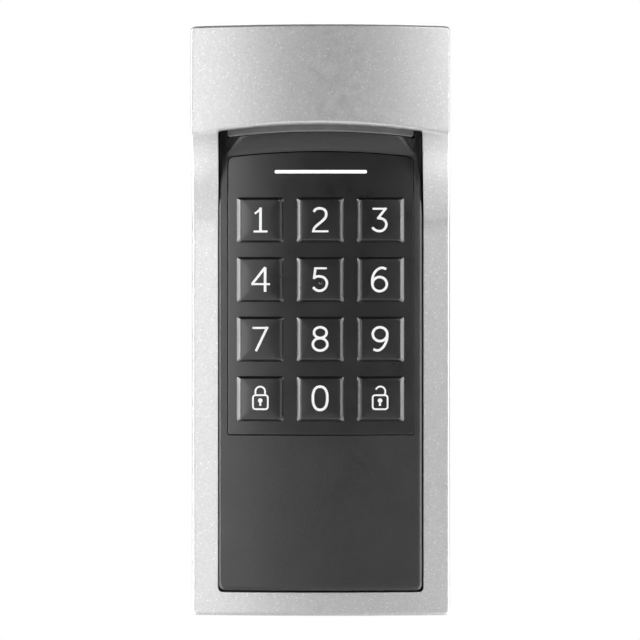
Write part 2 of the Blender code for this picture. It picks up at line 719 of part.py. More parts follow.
def make_battery_door(surfaces):
    depths = (REAR_BACK_DEPTH, REAR_BACK_DEPTH + REAR_FLOOR)
    width, height = (-DOOR_HALF_WIDTH, DOOR_HALF_WIDTH), (DOOR_BOTTOM_Z, DOOR_TOP_Z)
    door = box("battery_door", width, depths, height, surfaces["black"])
    for index, flip in enumerate((False, True), 1):
        axis = along_x(DOOR_PIN_DEPTH, DOOR_PIN_Z, flip)
        ends = (DOOR_HALF_WIDTH - 1.0, DOOR_HALF_WIDTH + DOOR_PIN_LENGTH)
        join(door, turned(f"door_pin_{index}", [(DOOR_PIN_RADIUS, end) for end in ends], axis, segments=12))
    notch_z = (DOOR_BOTTOM_Z + 1.4, DOOR_BOTTOM_Z + 4.4)
    cut(door, box("finger_notch", (-5.0, 5.0), (1.0, REAR_BACK_DEPTH + 0.6), notch_z))
    for index, z in enumerate((-38.0, -42.0, -46.0), 1):
        cut(door, box(f"grip_{index}", (-14.0, 14.0), (1.0, REAR_BACK_DEPTH + 0.3), (z - 0.4, z + 0.4)))
    return door


# ---- Power -----------------------------------------------------------------------------------------------
def along_x(depth, z, flip=False):
    """Places a turned shape's local Z along +X, or along -X when flipped."""
    turn = Matrix.Rotation(math.radians(-90 if flip else 90), 4, "Y")
    return Matrix.Translation(point(0.0, depth, z)) @ turn


def make_cell(name, z, flip, surfaces):
    """An AAA cell with its positive nub towards +X, or towards -X when flipped."""
    end, edge = CELL_LENGTH / 2, 0.4
    shoulder = end - CELL_NUB_LENGTH
    profile = [
        (CELL_RADIUS - edge, -end),
        (CELL_RADIUS, -end + edge),
        (CELL_RADIUS, shoulder - edge),
        (CELL_RADIUS - edge, shoulder),
        (CELL_NUB_RADIUS, shoulder),
        (CELL_NUB_RADIUS, end),
    ]
    return turned(name, profile, along_x(CELL_DEPTH, z, flip), surfaces["cell"])


def make_spring(name, z, flip, surfaces):
    """A conical contact spring, squeezed between a cell's flat end and its contact plate."""
    wire, turns, per_turn = 0.3, 2.6, 12
    start = CELL_LENGTH / 2 + wire + 0.12
    length = 1.55
    count = int(turns * per_turn)
    curve = bpy.data.curves.new(name, "CURVE")
    curve.dimensions = "3D"
    curve.bevel_depth = wire * MM
    curve.bevel_resolution = 1
    curve.use_fill_caps = True
    spline = curve.splines.new("POLY")
    spline.points.add(count)
    side = 1.0 if flip else -1.0
    for i in range(count + 1):
        share = i / count
        angle = 2 * math.pi * turns * share
        radius = 2.0 + 1.5 * share
        depth, height = CELL_DEPTH + radius * math.cos(angle), z + radius * math.sin(angle)
        at = point(side * (start + length * share), depth, height)
        spline.points[i].co = (*at, 1.0)
    made = bpy.data.objects.new(name, curve)
    curve.materials.append(surfaces["spring"])
    bpy.context.scene.collection.objects.link(made)
    return made


def contact_plate(name, side, z_range, surfaces, bump_z=None):
    """A sheet contact at one end of the bay. A bump meets the cell's nub."""
    outer, thick, half = REAR_HALF_WIDTH - REAR_WALL - 0.2, 0.4, 3.8
    near = outer - thick
    x_range = (near, outer) if side > 0 else (-outer, -near)
    plate = box(name, x_range, (CELL_DEPTH - half, CELL_DEPTH + half), z_range, surfaces["spring"])
    if bump_z is not None:
        tip = CELL_LENGTH / 2 + FINE_GAP
        profile = [(2.4, near + 0.1), (1.3, tip)] if side < 0 else [(2.4, near + 0.1), (1.3, tip)]
        join(plate, turned(f"{name}_bump", profile, along_x(CELL_DEPTH, bump_z, side < 0), segments=16))
    return plate


def make_wire(name, route, surfaces, key):
    """An insulated lead, smooth through its route's points."""
    points = [Vector(p) for p in route]
    padded = [points[0] * 2 - points[1], *points, points[-1] * 2 - points[-2]]
    smooth = []
    for a, b, c, d in zip(padded, padded[1:], padded[2:], padded[3:]):
        for t in (0.0, 0.2, 0.4, 0.6, 0.8):
            bend, twist = a * 2 - b * 5 + c * 4 - d, b * 3 - a - c * 3 + d
            smooth.append((b * 2 + (c - a) * t + bend * t * t + twist * t**3) / 2)
    smooth.append(points[-1])
    curve = bpy.data.curves.new(name, "CURVE")
    curve.dimensions = "3D"
    curve.bevel_depth = 0.4 * MM
    curve.bevel_resolution = 1
    curve.use_fill_caps = True
    spline = curve.splines.new("POLY")
    spline.points.add(len(smooth) - 1)
    for target, p in zip(spline.points, smooth):
        target.co = (*point(*p), 1.0)
    made = bpy.data.objects.new(name, curve)
    curve.materials.append(surfaces[key])
    bpy.context.scene.collection.objects.link(made)
    return made


def make_power(surfaces):
    make_cell("battery_cell_upper", CELL_UPPER_Z, False, surfaces)
    make_cell("battery_cell_lower", CELL_LOWER_Z, True, surfaces)
    make_spring("battery_spring_upper", CELL_UPPER_Z, False, surfaces)
    make_spring("battery_spring_lower", CELL_LOWER_Z, True, surfaces)
    contact_plate("battery_contact_bridge", -1, (-55.0, BAY_TOP_Z - 1.2), surfaces, CELL_LOWER_Z)
    contact_plate("battery_contact_positive", 1, (-43.4, BAY_TOP_Z - 1.2), surfaces, CELL_UPPER_Z)
    contact_plate("battery_contact_negative", 1, (-55.0, -45.6), surfaces)
    make_wire(
        "battery_lead_positive",
        (
            (25.0, 14.2, -34.6),
            (24.9, 14.7, -32.0),
            (24.7, 14.7, -28.0),
            (24.0, 14.5, -23.0),
            (22.4, 14.3, -20.6),
            (20.85, 14.3, -20.4),
        ),
        surfaces,
        "red",
    )
    make_wire(
        "battery_lead_negative",
        (
            (25.0, 14.2, -46.6),
            (23.6, 14.6, -43.6),
            (23.15, 14.7, -38.0),
            (23.15, 14.7, -32.0),
            (22.6, 14.6, -28.0),
            (21.9, 14.4, -25.0),
            (20.85, 14.3, -23.8),
        ),
        surfaces,
        "dark",
    )


# ---- Wall plate and screws -------------------------------------------------------------------------------
def slot_outline(x, z, length, width, upright):
    """A round-ended slot centred on (x, z)."""
    half_run, radius = (length - width) / 2, width / 2
    outline = []
    for end, first in ((1, -90), (-1, 90)):
        for turn in steps(first, first + 180, 6):
            angle = math.radians(turn)
            along, across = end * half_run + radius * math.cos(angle), radius * math.sin(angle)
            outline.append((x - across, z + along) if upright else (x + along, z + across))
    return outline


def make_wall_plate(surfaces):
    outer = rounded_outline(PLATE_HALF_WIDTH, PLATE_BOTTOM_Z, PLATE_TOP_Z, PLATE_CORNER)
    plate = extrude_outline("wall_plate", outer, 0.0, PLATE_THICKNESS, surfaces["black"])
    half, bottom, top = PLATE_WINDOW
    window = rounded_outline(half, bottom, top, 1.5, segments=3)
    cut(plate, extrude_outline("plate_window", window, -1.0, 5.0))
    tab_z = (PLATE_BOTTOM_Z, PLATE_BOTTOM_Z + TAB_THICKNESS)
    join(plate, box("lock_tab", (-TAB_HALF_WIDTH, TAB_HALF_WIDTH), (1.0, TAB_DEPTH), tab_z))
    for index, x in enumerate((-HOOK_X, HOOK_X), 1):
        x_range = (x - HOOK_HALF_WIDTH, x + HOOK_HALF_WIDTH)
        join(
            plate,
            box(f"hook_neck_{index}", x_range, (1.0, HOOK_LIP_DEPTH[1]), HOOK_NECK_Z),
            box(f"hook_lip_{index}", x_range, HOOK_LIP_DEPTH, (HOOK_NECK_Z[0] + 0.5, HOOK_LIP_TOP_Z)),
        )
    low, high = SCREW_SLOT_Z
    sink = (SLOT_LENGTH + 4, SLOT_WIDTH + 4)
    cut(
        plate,
        extrude_outline("slot_low", slot_outline(0.0, low, SLOT_LENGTH, SLOT_WIDTH, True), -1.0, 5.0),
        extrude_outline("slot_high", slot_outline(0.0, high, SLOT_LENGTH, SLOT_WIDTH, False), -1.0, 5.0),
        extrude_outline("sink_low", slot_outline(0.0, low, *sink, True), 1.3, 5.0),
        extrude_outline("sink_high", slot_outline(0.0, high, *sink, False), 1.3, 5.0),
        rod("plunger_port", TAMPER_X, TAMPER_Z, TAMPER_RADIUS + 1.0, -1.0, 5.0, segments=16),
        upright_rod("lock_thread", 0.0, LOCK_SCREW_DEPTH, LOCK_SCREW_RADIUS + FINE_GAP, -70.0, -60.0),
    )
    for index, (x, z) in enumerate(((-18.0, 52.0), (18.0, 52.0), (-18.0, -18.0), (18.0, -18.0)), 1):
        cut(plate, rod(f"corner_hole_{index}", x, z, 2.2, -1.0, 5.0, segments=16))
    return plate


def make_screws(surfaces):
    for index, (x, z) in enumerate(CASE_SCREWS, 1):
        turn = Matrix.Translation(point(x, 0.0, z)) @ Matrix.Rotation(math.radians(90), 4, "X")
        head_top = REAR_BACK_DEPTH + 0.3
        seat = head_top + 1.4
        profile = [
            (CASE_HEAD_RADIUS - 0.3, head_top),
            (CASE_HEAD_RADIUS, head_top + 0.3),
            (CASE_HEAD_RADIUS, seat),
            (CASE_SCREW_RADIUS, seat),
            (CASE_SCREW_RADIUS, 18.6),
            (0.4, 19.6),
        ]
        screw = turned(f"case_screw_{index}", profile, turn, surfaces["steel"], segments=16)
        slot_x, slot_z = (x - 3.0, x + 3.0), (z - 0.3, z + 0.3)
        cut(screw, box(f"case_screw_slot_{index}", slot_x, (0.0, head_top + 0.7), slot_z))
    base = -HEIGHT / 2
    place = Matrix.Translation(point(0.0, LOCK_SCREW_DEPTH, 0.0))
    profile = [
        (LOCK_HEAD_RADIUS - 0.3, base + 0.1),
        (LOCK_HEAD_RADIUS, base + 0.4),
        (LOCK_HEAD_RADIUS, base + LOCK_HEAD_HEIGHT),
        (LOCK_SCREW_RADIUS, base + LOCK_HEAD_HEIGHT),
        (LOCK_SCREW_RADIUS, -62.8),
        (LOCK_SCREW_RADIUS - 0.5, -62.5),
    ]
    lock = turned("locking_screw", profile, place, surfaces["steel"])
    socket = upright_rod("lock_socket", 0.0, LOCK_SCREW_DEPTH, 1.1, -70.0, base + 0.9, segments=6)
    cut(lock, socket)


def clear_scene():
    for old in list(bpy.data.objects):
        bpy.data.objects.remove(old, do_unlink=True)


def main():
    clear_scene()
    surfaces = make_materials()
    make_wall_plate(surfaces)
    make_rear_housing(surfaces)
    make_gasket(surfaces)
    make_battery_door(surfaces)
    make_power(surfaces)
    make_board(surfaces)
    make_tamper_plunger(surfaces)
    make_dome_sheet(surfaces)
    make_keys(surfaces)
    make_overlay(surfaces)
    make_status_bar(surfaces)
    make_lens(surfaces)
    make_front_cover(surfaces)
    make_bezel(surfaces)
    make_screws(surfaces)


main()
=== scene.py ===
"""Looks of the keypad access reader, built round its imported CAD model. Lengths are in millimetres until
a mesh is made. A point at depth d stands d in front of the wall, so its y is -d."""

import json
import math

import bmesh
import bpy
import numpy as np
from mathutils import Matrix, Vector
from mathutils.geometry import delaunay_2d_cdt


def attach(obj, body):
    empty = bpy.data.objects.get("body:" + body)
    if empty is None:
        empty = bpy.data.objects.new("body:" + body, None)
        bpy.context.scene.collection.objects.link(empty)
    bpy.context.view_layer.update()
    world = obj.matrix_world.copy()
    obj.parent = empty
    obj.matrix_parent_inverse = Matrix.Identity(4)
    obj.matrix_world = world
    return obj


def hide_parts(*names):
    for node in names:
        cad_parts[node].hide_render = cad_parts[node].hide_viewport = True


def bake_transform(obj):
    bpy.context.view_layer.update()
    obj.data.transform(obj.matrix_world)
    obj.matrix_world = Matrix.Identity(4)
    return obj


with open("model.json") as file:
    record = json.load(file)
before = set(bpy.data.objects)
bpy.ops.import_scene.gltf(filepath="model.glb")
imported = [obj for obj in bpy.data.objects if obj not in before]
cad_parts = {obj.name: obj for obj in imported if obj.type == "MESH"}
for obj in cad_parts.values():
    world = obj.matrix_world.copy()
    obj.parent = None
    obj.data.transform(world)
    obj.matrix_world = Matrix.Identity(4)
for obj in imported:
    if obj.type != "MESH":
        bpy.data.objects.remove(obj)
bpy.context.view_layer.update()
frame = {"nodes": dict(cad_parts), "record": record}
NODES = frame["nodes"]
MM = 0.001

# ---- Dimensions, in millimetres --------------------------------------------------------------------------
BULGE_RADIUS = 160.0
ARCH_RADIUS = 183.0
HALF_WIDTH = 29.5
HALF_HEIGHT = 67.0
RAIL_DEPTH = 22.0
HOOD_DEPTH = 36.0
HOOD_TOP_DEPTH = 35.2
LIP_Z = 44.4
SWEEP_END_Z = 21.5
SWEEP_LEAD = 6.0
SWEEP_DROP = 3.2
LIP_ROUNDING = 1.1
OUTLINE_DRAFT = 0.022
WINDOW_DRAFT = 0.032
BEZEL_WALL = 2.0
BEZEL_BACK = 0.6
WINDOW_HALF = 23.5  # inner edge of the straight rails
WINDOW_OPENING = 23.4  # half-width of the opening between them
WINDOW_BOTTOM = -61.6
COVER_DEPTH = 23.2
COVER_HALF = 23.1
COVER_BOTTOM = -61.2
COVER_TOP = 49.9
COVER_BACK = 16.2
FLANGE_FRONT = 17.0
FLANGE_BACK = 15.4
SOFFIT_DEPTH = 33.4
PANEL_HALF = 21.15
PANEL_BOTTOM = -25.6
PANEL_TOP = 38.8
PANEL_CORNER = 0.9
SEAM = 0.16
SIDE_SEAM = 0.09
LENS_BOTTOM = 43.3
LENS_TOP = 47.1
LENS_DEPTH = 27.0
LENS_BACK = 17.3
LENS_CORNER = 0.55
COVE_RISE = 3.2
COVE_CURVE = 1.6
COVE_HALF = 22.2
COVE_END_EDGE = 0.3
COVE_END_FALL = 4.4
BAR_Z = 34.28
BAR_HALF = 10.53
BAR_HALF_HEIGHT = 0.37
BAR_BACK = 21.4
KEY_PITCH_X = 13.72
KEY_SHIFT = -0.1
KEY_PITCH_Z = 13.58
KEY_TOP_ROW_Z = 23.3
KEY_HALF_W = 5.35
KEY_HALF_H = 5.15
KEY_CORNER = 0.45
KEY_RISE = 0.92
KEY_FOOT = 0.95
CROWN_REACH = 2.9
CROWN_DROP = 0.1
FLANK_X = 0.95
FLANK_Z = 0.56
PIP_RADIUS = 0.5
PIP_HEIGHT = 0.46
KEY_NAMES = (("key_1", "key_2", "key_3"), ("key_4", "key_5", "key_6"), ("key_7", "key_8", "key_9"),
             ("key_lock", "key_0", "key_unlock"))


# ---- Surfaces of the object ------------------------------------------------------------------------------
def bulge(x):
    return BULGE_RADIUS - math.sqrt(BULGE_RADIUS**2 - x * x)


def rail_bulge(x):
    """As bulge, but straight across each rail."""
    if abs(x) < WINDOW_HALF:
        return bulge(x)
    inner, outer = bulge(WINDOW_HALF), bulge(HALF_WIDTH)
    return inner + (outer - inner) * (abs(x) - WINDOW_HALF) / (HALF_WIDTH - WINDOW_HALF)


def arch(x, crown):
    return crown - (ARCH_RADIUS - math.sqrt(ARCH_RADIUS**2 - x * x))


def steps(start, end, count):
    return [start + (end - start) * i / count for i in range(count + 1)]


def soft_min(a, b, reach):
    h = max(reach - abs(a - b), 0.0) / reach
    return min(a, b) - h * h * reach / 4


# Control points of the cheeks' sweep, as (depth, z): from the lip down to the rails.
SWEEP = (Vector((HOOD_DEPTH, LIP_Z)), Vector((HOOD_DEPTH - SWEEP_LEAD, LIP_Z - SWEEP_DROP)),
         Vector((RAIL_DEPTH, SWEEP_END_Z + 10.0)), Vector((RAIL_DEPTH, SWEEP_END_Z)))


def sweep_depth(z):
    """Depth of the cheeks' sweep at height z, for a lip on the centre line."""
    if z >= LIP_Z:
        return HOOD_DEPTH + (z - LIP_Z) * SWEEP_LEAD / SWEEP_DROP
    if z <= SWEEP_END_Z:
        return RAIL_DEPTH
    low, high = 0.0, 1.0
    for _ in range(30):
        t = (low + high) / 2
        s = 1 - t
        p = SWEEP[0] * s**3 + SWEEP[1] * 3 * s * s * t + SWEEP[2] * 3 * s * t * t + SWEEP[3] * t**3
        if p.y > z:
            low = t
        else:
            high = t
    return p.x


def bezel_front(x, z):
    """Depth of the bezel's front: hood, swept cheeks and rails."""
    lip = arch(x, LIP_Z)
    share = min(max((z - SWEEP_END_Z) / (lip - SWEEP_END_Z), 0.0), 1.0)
    level = z + (LIP_Z - lip) * share if z < lip else z + LIP_Z - lip
    hood = HOOD_DEPTH + (HOOD_TOP_DEPTH - HOOD_DEPTH) * (z - lip) / (HALF_HEIGHT - lip)
    flat = 1 - share if z > WINDOW_BOTTOM else 0.0
    return soft_min(hood, sweep_depth(level), LIP_ROUNDING) - bulge(x) * (1 - flat) - rail_bulge(x) * flat


def cover_front(x, z):
    """Depth of the black cover's front, which sweeps forward above the keypad and falls away at the ends."""
    face = COVER_DEPTH - bulge(x)
    low, high = arch(x, PANEL_TOP + 2 * SEAM), arch(x, LENS_BOTTOM)
    t = min(max((z - low) / (high - low), 0.0), 1.0)
    side = min(max((COVE_HALF - abs(x)) / (COVE_END_EDGE + COVE_END_FALL * t), 0.0), 1.0)
    return face + COVE_RISE * t**COVE_CURVE * side * side * (3 - 2 * side)


def panel_front(x, z):
    return COVER_DEPTH - bulge(x)


# ---- Mesh building ---------------------------------------------------------------------------------------
def signed_area(loop):
    return sum(a[0] * b[1] - b[0] * a[1] for a, b in zip(loop, loop[1:] + loop[:1])) / 2


def inward_normals(loop, hole):
    """Unit vectors, lengthened at corners, that point from each corner of a loop into the material."""
    sign = 1.0 if (signed_area(loop) > 0) != hole else -1.0
    found = []
    for i, p in enumerate(loop):
        a, b = Vector(loop[i - 1]), Vector(loop[(i + 1) % len(loop)])
        p = Vector(p)
        first, second = (p - a).normalized(), (b - p).normalized()
        n1, n2 = Vector((-first.y, first.x)), Vector((-second.y, second.x))
        mean = (n1 + n2).normalized()
        found.append(mean * sign / max(mean.dot(n1), 0.5))
    return found


def inside(points, loop):
    """For each point, whether it lies inside the loop."""
    loop = np.array(loop)
    x, y = points[:, 0][:, None], points[:, 1][:, None]
    x0, y0 = loop[:, 0], loop[:, 1]
    x1, y1 = np.roll(x0, -1), np.roll(y0, -1)
    crosses = (y0 > y) != (y1 > y)
    with np.errstate(divide="ignore", invalid="ignore"):
        at = (x1 - x0) * (y - y0) / (y1 - y0) + x0
    return (np.sum(crosses & (x < at), axis=1) % 2) == 1


def far_from(points, loop, gap):
    """For each point, whether it is at least gap away from the loop's edges."""
    a = np.array(loop)
    b = np.roll(a, -1, axis=0)
    d = b - a
    keep = np.ones(len(points), bool)
    for start in range(0, len(points), 2000):
        p = points[start:start + 2000][:, None, :]
        t = np.clip(((p - a) * d).sum(2) / np.maximum((d * d).sum(1), 1e-12), 0, 1)
        gap_sq = ((p - a - d * t[..., None]) ** 2).sum(2).min(1)
        keep[start:start + 2000] = gap_sq > gap * gap
    return keep


def grid_points(loop, pitch_x, pitch_z):
    xs, zs = [p[0] for p in loop], [p[1] for p in loop]
    nx = max(int((max(xs) - min(xs)) / pitch_x), 1)
    nz = max(int((max(zs) - min(zs)) / pitch_z), 1)
    found = []
    for z in steps(min(zs), max(zs), nz):
        found += [(x, z) for x in steps(min(xs), max(xs), nx)]
    return np.array(found)


def triangulate(points, edges, wanted):
    """Triangles between points, a whole walled region at a time: a region is kept when wanted accepts the
    middle of its largest triangle. Returns the points, which inputs each came from, and the triangles."""
    verts, lines, faces, origins, sources, _ = delaunay_2d_cdt([Vector(p) for p in points], edges, [],
                                                               0, 1e-6)
    walls = {frozenset(line) for line, source in zip(lines, sources) if source}
    sharing = {}
    for number, face in enumerate(faces):
        for pair in zip(face, (*face[1:], face[0])):
            if frozenset(pair) not in walls:
                sharing.setdefault(frozenset(pair), []).append(number)
    neighbours, outer = [[] for _ in faces], set()
    for pair in sharing.values():
        if len(pair) == 2:
            neighbours[pair[0]].append(pair[1])
            neighbours[pair[1]].append(pair[0])
        else:
            outer.update(pair)
    corners = np.array([[tuple(verts[i]) for i in face] for face in faces])
    sides = corners[:, 1:] - corners[:, :1]
    areas = np.abs(sides[:, 0, 0] * sides[:, 1, 1] - sides[:, 0, 1] * sides[:, 1, 0])
    seen, kept = [False] * len(faces), []
    for seed in range(len(faces)):
        if seen[seed]:
            continue
        seen[seed] = True
        region = [seed]
        for number in region:
            for other in neighbours[number]:
                if not seen[other]:
                    seen[other] = True
                    region.append(other)
        largest = max(region, key=lambda number: areas[number])
        if outer.isdisjoint(region) and wanted(corners[largest].mean(axis=0)[None, :]):
            kept += region
    return verts, origins, [faces[number] for number in kept]


class Builder:
    """Collects the vertices and faces of one mesh, in (x, depth, z) millimetres."""

    def __init__(self):
        self.points = []
        self.faces = []

    def ring(self, points):
        start = len(self.points)
        self.points += points
        return list(range(start, start + len(points)))

    def bridge(self, first, second):
        for i in range(len(first)):
            j = (i + 1) % len(first)
            self.faces.append((first[i], first[j], second[j], second[i]))

    def fan(self, ring, point):
        centre = self.ring([point])[0]
        for i in range(len(ring)):
            self.faces.append((ring[i], ring[(i + 1) % len(ring)], centre))

    def fill(self, rings, surface, pitch=(2.0, 2.0), extra=()):
        """Covers the region between the first ring, the outline, and the others, its holes."""
        loops = [[(self.points[i][0], self.points[i][2]) for i in ring] for ring in rings]
        inner = grid_points(loops[0], *pitch) if pitch else np.zeros((0, 2))
        if len(extra):
            inner = np.concatenate([inner, np.array(extra)])
        if len(inner):
            keep = inside(inner, loops[0])
            for loop in loops[1:]:
                keep &= ~inside(inner, loop)
            inner = inner[keep]
            gap = 0.3 * min(pitch or (1, 1))
            for loop in loops:
                inner = inner[far_from(inner, loop, gap)]
        flat, edges, known = [], [], []
        for ring, loop in zip(rings, loops):
            start = len(flat)
            flat += [Vector(p) for p in loop]
            known += ring
            edges += [(start + i, start + (i + 1) % len(loop)) for i in range(len(loop))]
        flat += [Vector(p) for p in inner]

        def wanted(place):
            return inside(place, loops[0])[0] and not any(inside(place, loop)[0] for loop in loops[1:])

        verts, origins, faces = triangulate(flat, edges, wanted)
        index = []
        for place, source in zip(verts, origins):
            named = [known[s] for s in source if s < len(known)]
            index.append(named[0] if named else self.ring([(place.x, surface(place.x, place.y), place.y)])[0])
        self.faces += [tuple(index[i] for i in face) for face in faces]

    def piece(self, name, sharp=35.0):
        bm = bmesh.new()
        verts = [bm.verts.new((x * MM, -d * MM, z * MM)) for x, d, z in self.points]
        for face in self.faces:
            kept = [verts[i] for i in dict.fromkeys(face)]
            if len(kept) > 2 and bm.faces.get(kept) is None:
                bm.faces.new(kept)
        bmesh.ops.delete(bm, geom=[v for v in bm.verts if not v.link_faces], context="VERTS")
        bmesh.ops.recalc_face_normals(bm, faces=bm.faces)
        return mesh_piece(name, bm, sharp)


def mesh_piece(name, bm, sharp=35.0):
    mesh = bpy.data.meshes.new(name)
    bm.to_mesh(mesh)
    bm.free()
    mesh.shade_smooth()
    mesh.set_sharp_from_angle(angle=math.radians(sharp))
    made = bpy.data.objects.new(name, mesh)
    bpy.context.scene.collection.objects.link(made)
    return made


COLLAR = 0.1  # width of the band beside a rounded edge that keeps the face's shading clear of it


def edge_rings(builder, loop, hole, front, radius, wall_to, count=4, outline_at=None):
    """Rounds a loop's front edge and runs its wall back. Returns the ring that the front face starts from
    and the wall's last ring. radius may be a number or a function of (x, z)."""
    normals = inward_normals(loop, hole)
    radii = [radius(*p) if callable(radius) else radius for p in loop]
    first = last = None
    for turn in [None, *steps(0.0, math.pi / 2, count)]:
        points = []
        for (x, z), n, r in zip(loop, normals, radii):
            move, drop = r * (1 - math.sin(turn or 0.0)), r * (1 - math.cos(turn or 0.0))
            if turn is None:
                move += COLLAR
            px, pz = x + n.x * move, z + n.y * move
            points.append((px, front(px, pz) - drop, pz))
        ring = builder.ring(points)
        if first is None:
            first = ring
        else:
            builder.bridge(last, ring)
        last = ring
    ends = outline_at or loop
    depths = [wall_to(*p) if callable(wall_to) else wall_to for p in ends]
    back = builder.ring([(x, d, z) for (x, z), d in zip(ends, depths)])
    builder.bridge(last, back)
    return first, back


def plate(name, outline, holes, front, back, radius=0.2, pitch=(2.0, 2.0), hole_radius=None, extra=()):
    """A closed slab with rounded front edges and any number of holes through it."""
    builder = Builder()
    hole_radius = radius if hole_radius is None else hole_radius
    fronts, backs = [], []
    for index, loop in enumerate([outline, *holes]):
        r = hole_radius if index else radius
        first, last = edge_rings(builder, loop, index > 0, front, r, back)
        fronts.append(first)
        backs.append(last)
    builder.fill(fronts, front, pitch, extra)
    back_at = back if callable(back) else lambda x, z: back
    builder.fill(backs, back_at, pitch if callable(back) else None)
    return builder.piece(name)


def corner_arc(x, z, radius, start, count):
    return [(x + radius * math.cos(math.radians(a)), z + radius * math.sin(math.radians(a)))
            for a in steps(start, start + 90, count)]


def dense(loop, pitch):
    """The closed loop with its long edges split."""
    found = []
    for (x0, z0), (x1, z1) in zip(loop, loop[1:] + loop[:1]):
        count = max(int(math.hypot(x1 - x0, z1 - z0) / pitch), 1)
        found += [(x0 + (x1 - x0) * i / count, z0 + (z1 - z0) * i / count) for i in range(count)]
    return found


def rounded(half, bottom, top, radius, crown=None, top_radius=None, pitch=2.0, count=5, sag=1.0):
    """An anticlockwise rectangle with round corners. With a crown, its top edge is an arc, which a sag
    below 1 flattens."""
    def top_at(x):
        return top if crown is None else crown - (crown - arch(x, crown)) * sag

    top_radius = radius if top_radius is None else top_radius
    reach, side = half - top_radius, top_at(half)
    loop = corner_arc(half - radius, bottom + radius, radius, -90, count)
    loop += corner_arc(reach, side - top_radius, top_radius, 0, count)
    if crown is not None:
        loop[-1] = (reach, top_at(reach))
        loop += [(x, top_at(x)) for x in steps(reach, -reach, 24)[1:-1]]
    left = corner_arc(-reach, side - top_radius, top_radius, 90, count)
    if crown is not None:
        left[0] = (-reach, top_at(-reach))
    loop += left + corner_arc(radius - half, bottom + radius, radius, 180, count)
    return dense(loop, pitch)


# ---- Materials -------------------------------------------------------------------------------------------
class Material:
    """Small wrapper that adds and links nodes."""

    def __init__(self, name):
        self.data = bpy.data.materials.new(name)
        self.data.use_nodes = True
        self.nodes = self.data.node_tree.nodes
        self.links = self.data.node_tree.links
        self.shader = self.nodes["Principled BSDF"]
        self.coords = self.nodes.new("ShaderNodeTexCoord").outputs["Object"]

    def set(self, **values):
        for name, value in values.items():
            self.shader.inputs[name.replace("_", " ")].default_value = value
        return self

    def noise(self, size, detail=2.0, rough=0.5):
        node = self.nodes.new("ShaderNodeTexNoise")
        node.inputs["Scale"].default_value = 1.0 / (size * MM)
        node.inputs["Detail"].default_value = detail
        node.inputs["Roughness"].default_value = rough
        self.links.new(self.coords, node.inputs["Vector"])
        return node.outputs["Fac"]

    def cells(self, size):
        node = self.nodes.new("ShaderNodeTexVoronoi")
        node.inputs["Scale"].default_value = 1.0 / (size * MM)
        self.links.new(self.coords, node.inputs["Vector"])
        return node.outputs["Color"]

    def remap(self, value, low, high, out_low, out_high):
        node = self.nodes.new("ShaderNodeMapRange")
        for key, number in zip(("From Min", "From Max", "To Min", "To Max"), (low, high, out_low, out_high)):
            node.inputs[key].default_value = number
        self.links.new(value, node.inputs["Value"])
        return node.outputs["Result"]

    def spread(self, noise, low=0.0, high=1.0):
        """Stretches the usual values of a noise, 0.3 to 0.7, from low to high."""
        return self.remap(noise, 0.3, 0.7, low, high)

    def mix(self, factor, first, second):
        node = self.nodes.new("ShaderNodeMix")
        node.data_type = "RGBA"
        for slot, value in ((6, first), (7, second)):
            if isinstance(value, tuple):
                node.inputs[slot].default_value = (*value, 1.0)
            else:
                self.links.new(value, node.inputs[slot])
        self.links.new(factor, node.inputs[0])
        return node.outputs[2]

    def maths(self, kind, a, b):
        node = self.nodes.new("ShaderNodeMath")
        node.operation = kind
        for slot, value in ((0, a), (1, b)):
            if isinstance(value, (int, float)):
                node.inputs[slot].default_value = value
            else:
                self.links.new(value, node.inputs[slot])
        return node.outputs[0]

    def bump(self, height, strength, distance):
        node = self.nodes.new("ShaderNodeBump")
        node.inputs["Strength"].default_value = strength
        node.inputs["Distance"].default_value = distance * MM
        self.links.new(height, node.inputs["Height"])
        return node.outputs["Normal"]

    def use(self, **sockets):
        for name, value in sockets.items():
            self.links.new(value, self.shader.inputs[name.replace("_", " ")])
        return self


def grey(tone):
    return (tone,) * 3


def silver_paint():
    m = Material("silver_flake_lacquer").set(Metallic=0.9, Coat_Weight=0.25, Coat_Roughness=0.25)
    flakes = m.nodes.new("ShaderNodeSeparateColor")
    m.links.new(m.cells(0.3), flakes.inputs[0])
    spark = m.remap(flakes.outputs[0], 0.0, 1.0, 0.0, 1.0)
    cloud = m.noise(1.4, 3.0)
    tone = m.maths("ADD", m.maths("MULTIPLY", spark, 0.6), m.maths("MULTIPLY", cloud, 0.4))
    body = m.mix(tone, grey(0.58), grey(0.71))
    # Sparse flakes are painted near-white (0.81) as painted glints; the rest of the flake and cloud tone
    # varies at random
    colour = m.mix(m.remap(flakes.outputs[1], 0.945, 0.985, 0.0, 1.0), body, grey(0.81))
    rough = m.spread(cloud, 0.39, 0.45)
    normal = m.bump(flakes.outputs[2], 0.2, 0.02)
    return m.use(Base_Color=colour, Roughness=rough, Normal=normal).data


def spark_plastic(name, tone, rough, grain=0.42):
    """Black moulded plastic with a spark-eroded surface."""
    m = Material(name).set(Specular_IOR_Level=0.9)
    fine, coarse = m.noise(grain, 3.0, 0.6), m.noise(9.0, 2.0)
    colour = m.mix(m.spread(fine), grey(tone * 0.75), grey(tone * 1.35))
    level = m.maths("ADD", m.spread(coarse, -0.03, 0.03), m.spread(fine, rough - 0.05, rough + 0.05))
    return m.use(Base_Color=colour, Roughness=level, Normal=m.bump(fine, 0.55, 0.05)).data


def satin_rubber(name, rough):
    m = Material(name).set(Specular_IOR_Level=1.0)
    fine, coarse = m.noise(0.25, 2.0), m.noise(7.0, 3.0, 0.6)
    colour = m.mix(m.spread(coarse), (0.005, 0.005, 0.0052), (0.008, 0.008, 0.0082))
    level = m.maths("ADD", m.spread(coarse, -0.02, 0.02), m.spread(fine, rough - 0.015, rough + 0.015))
    return m.use(Base_Color=colour, Roughness=level, Normal=m.bump(fine, 0.12, 0.01)).data


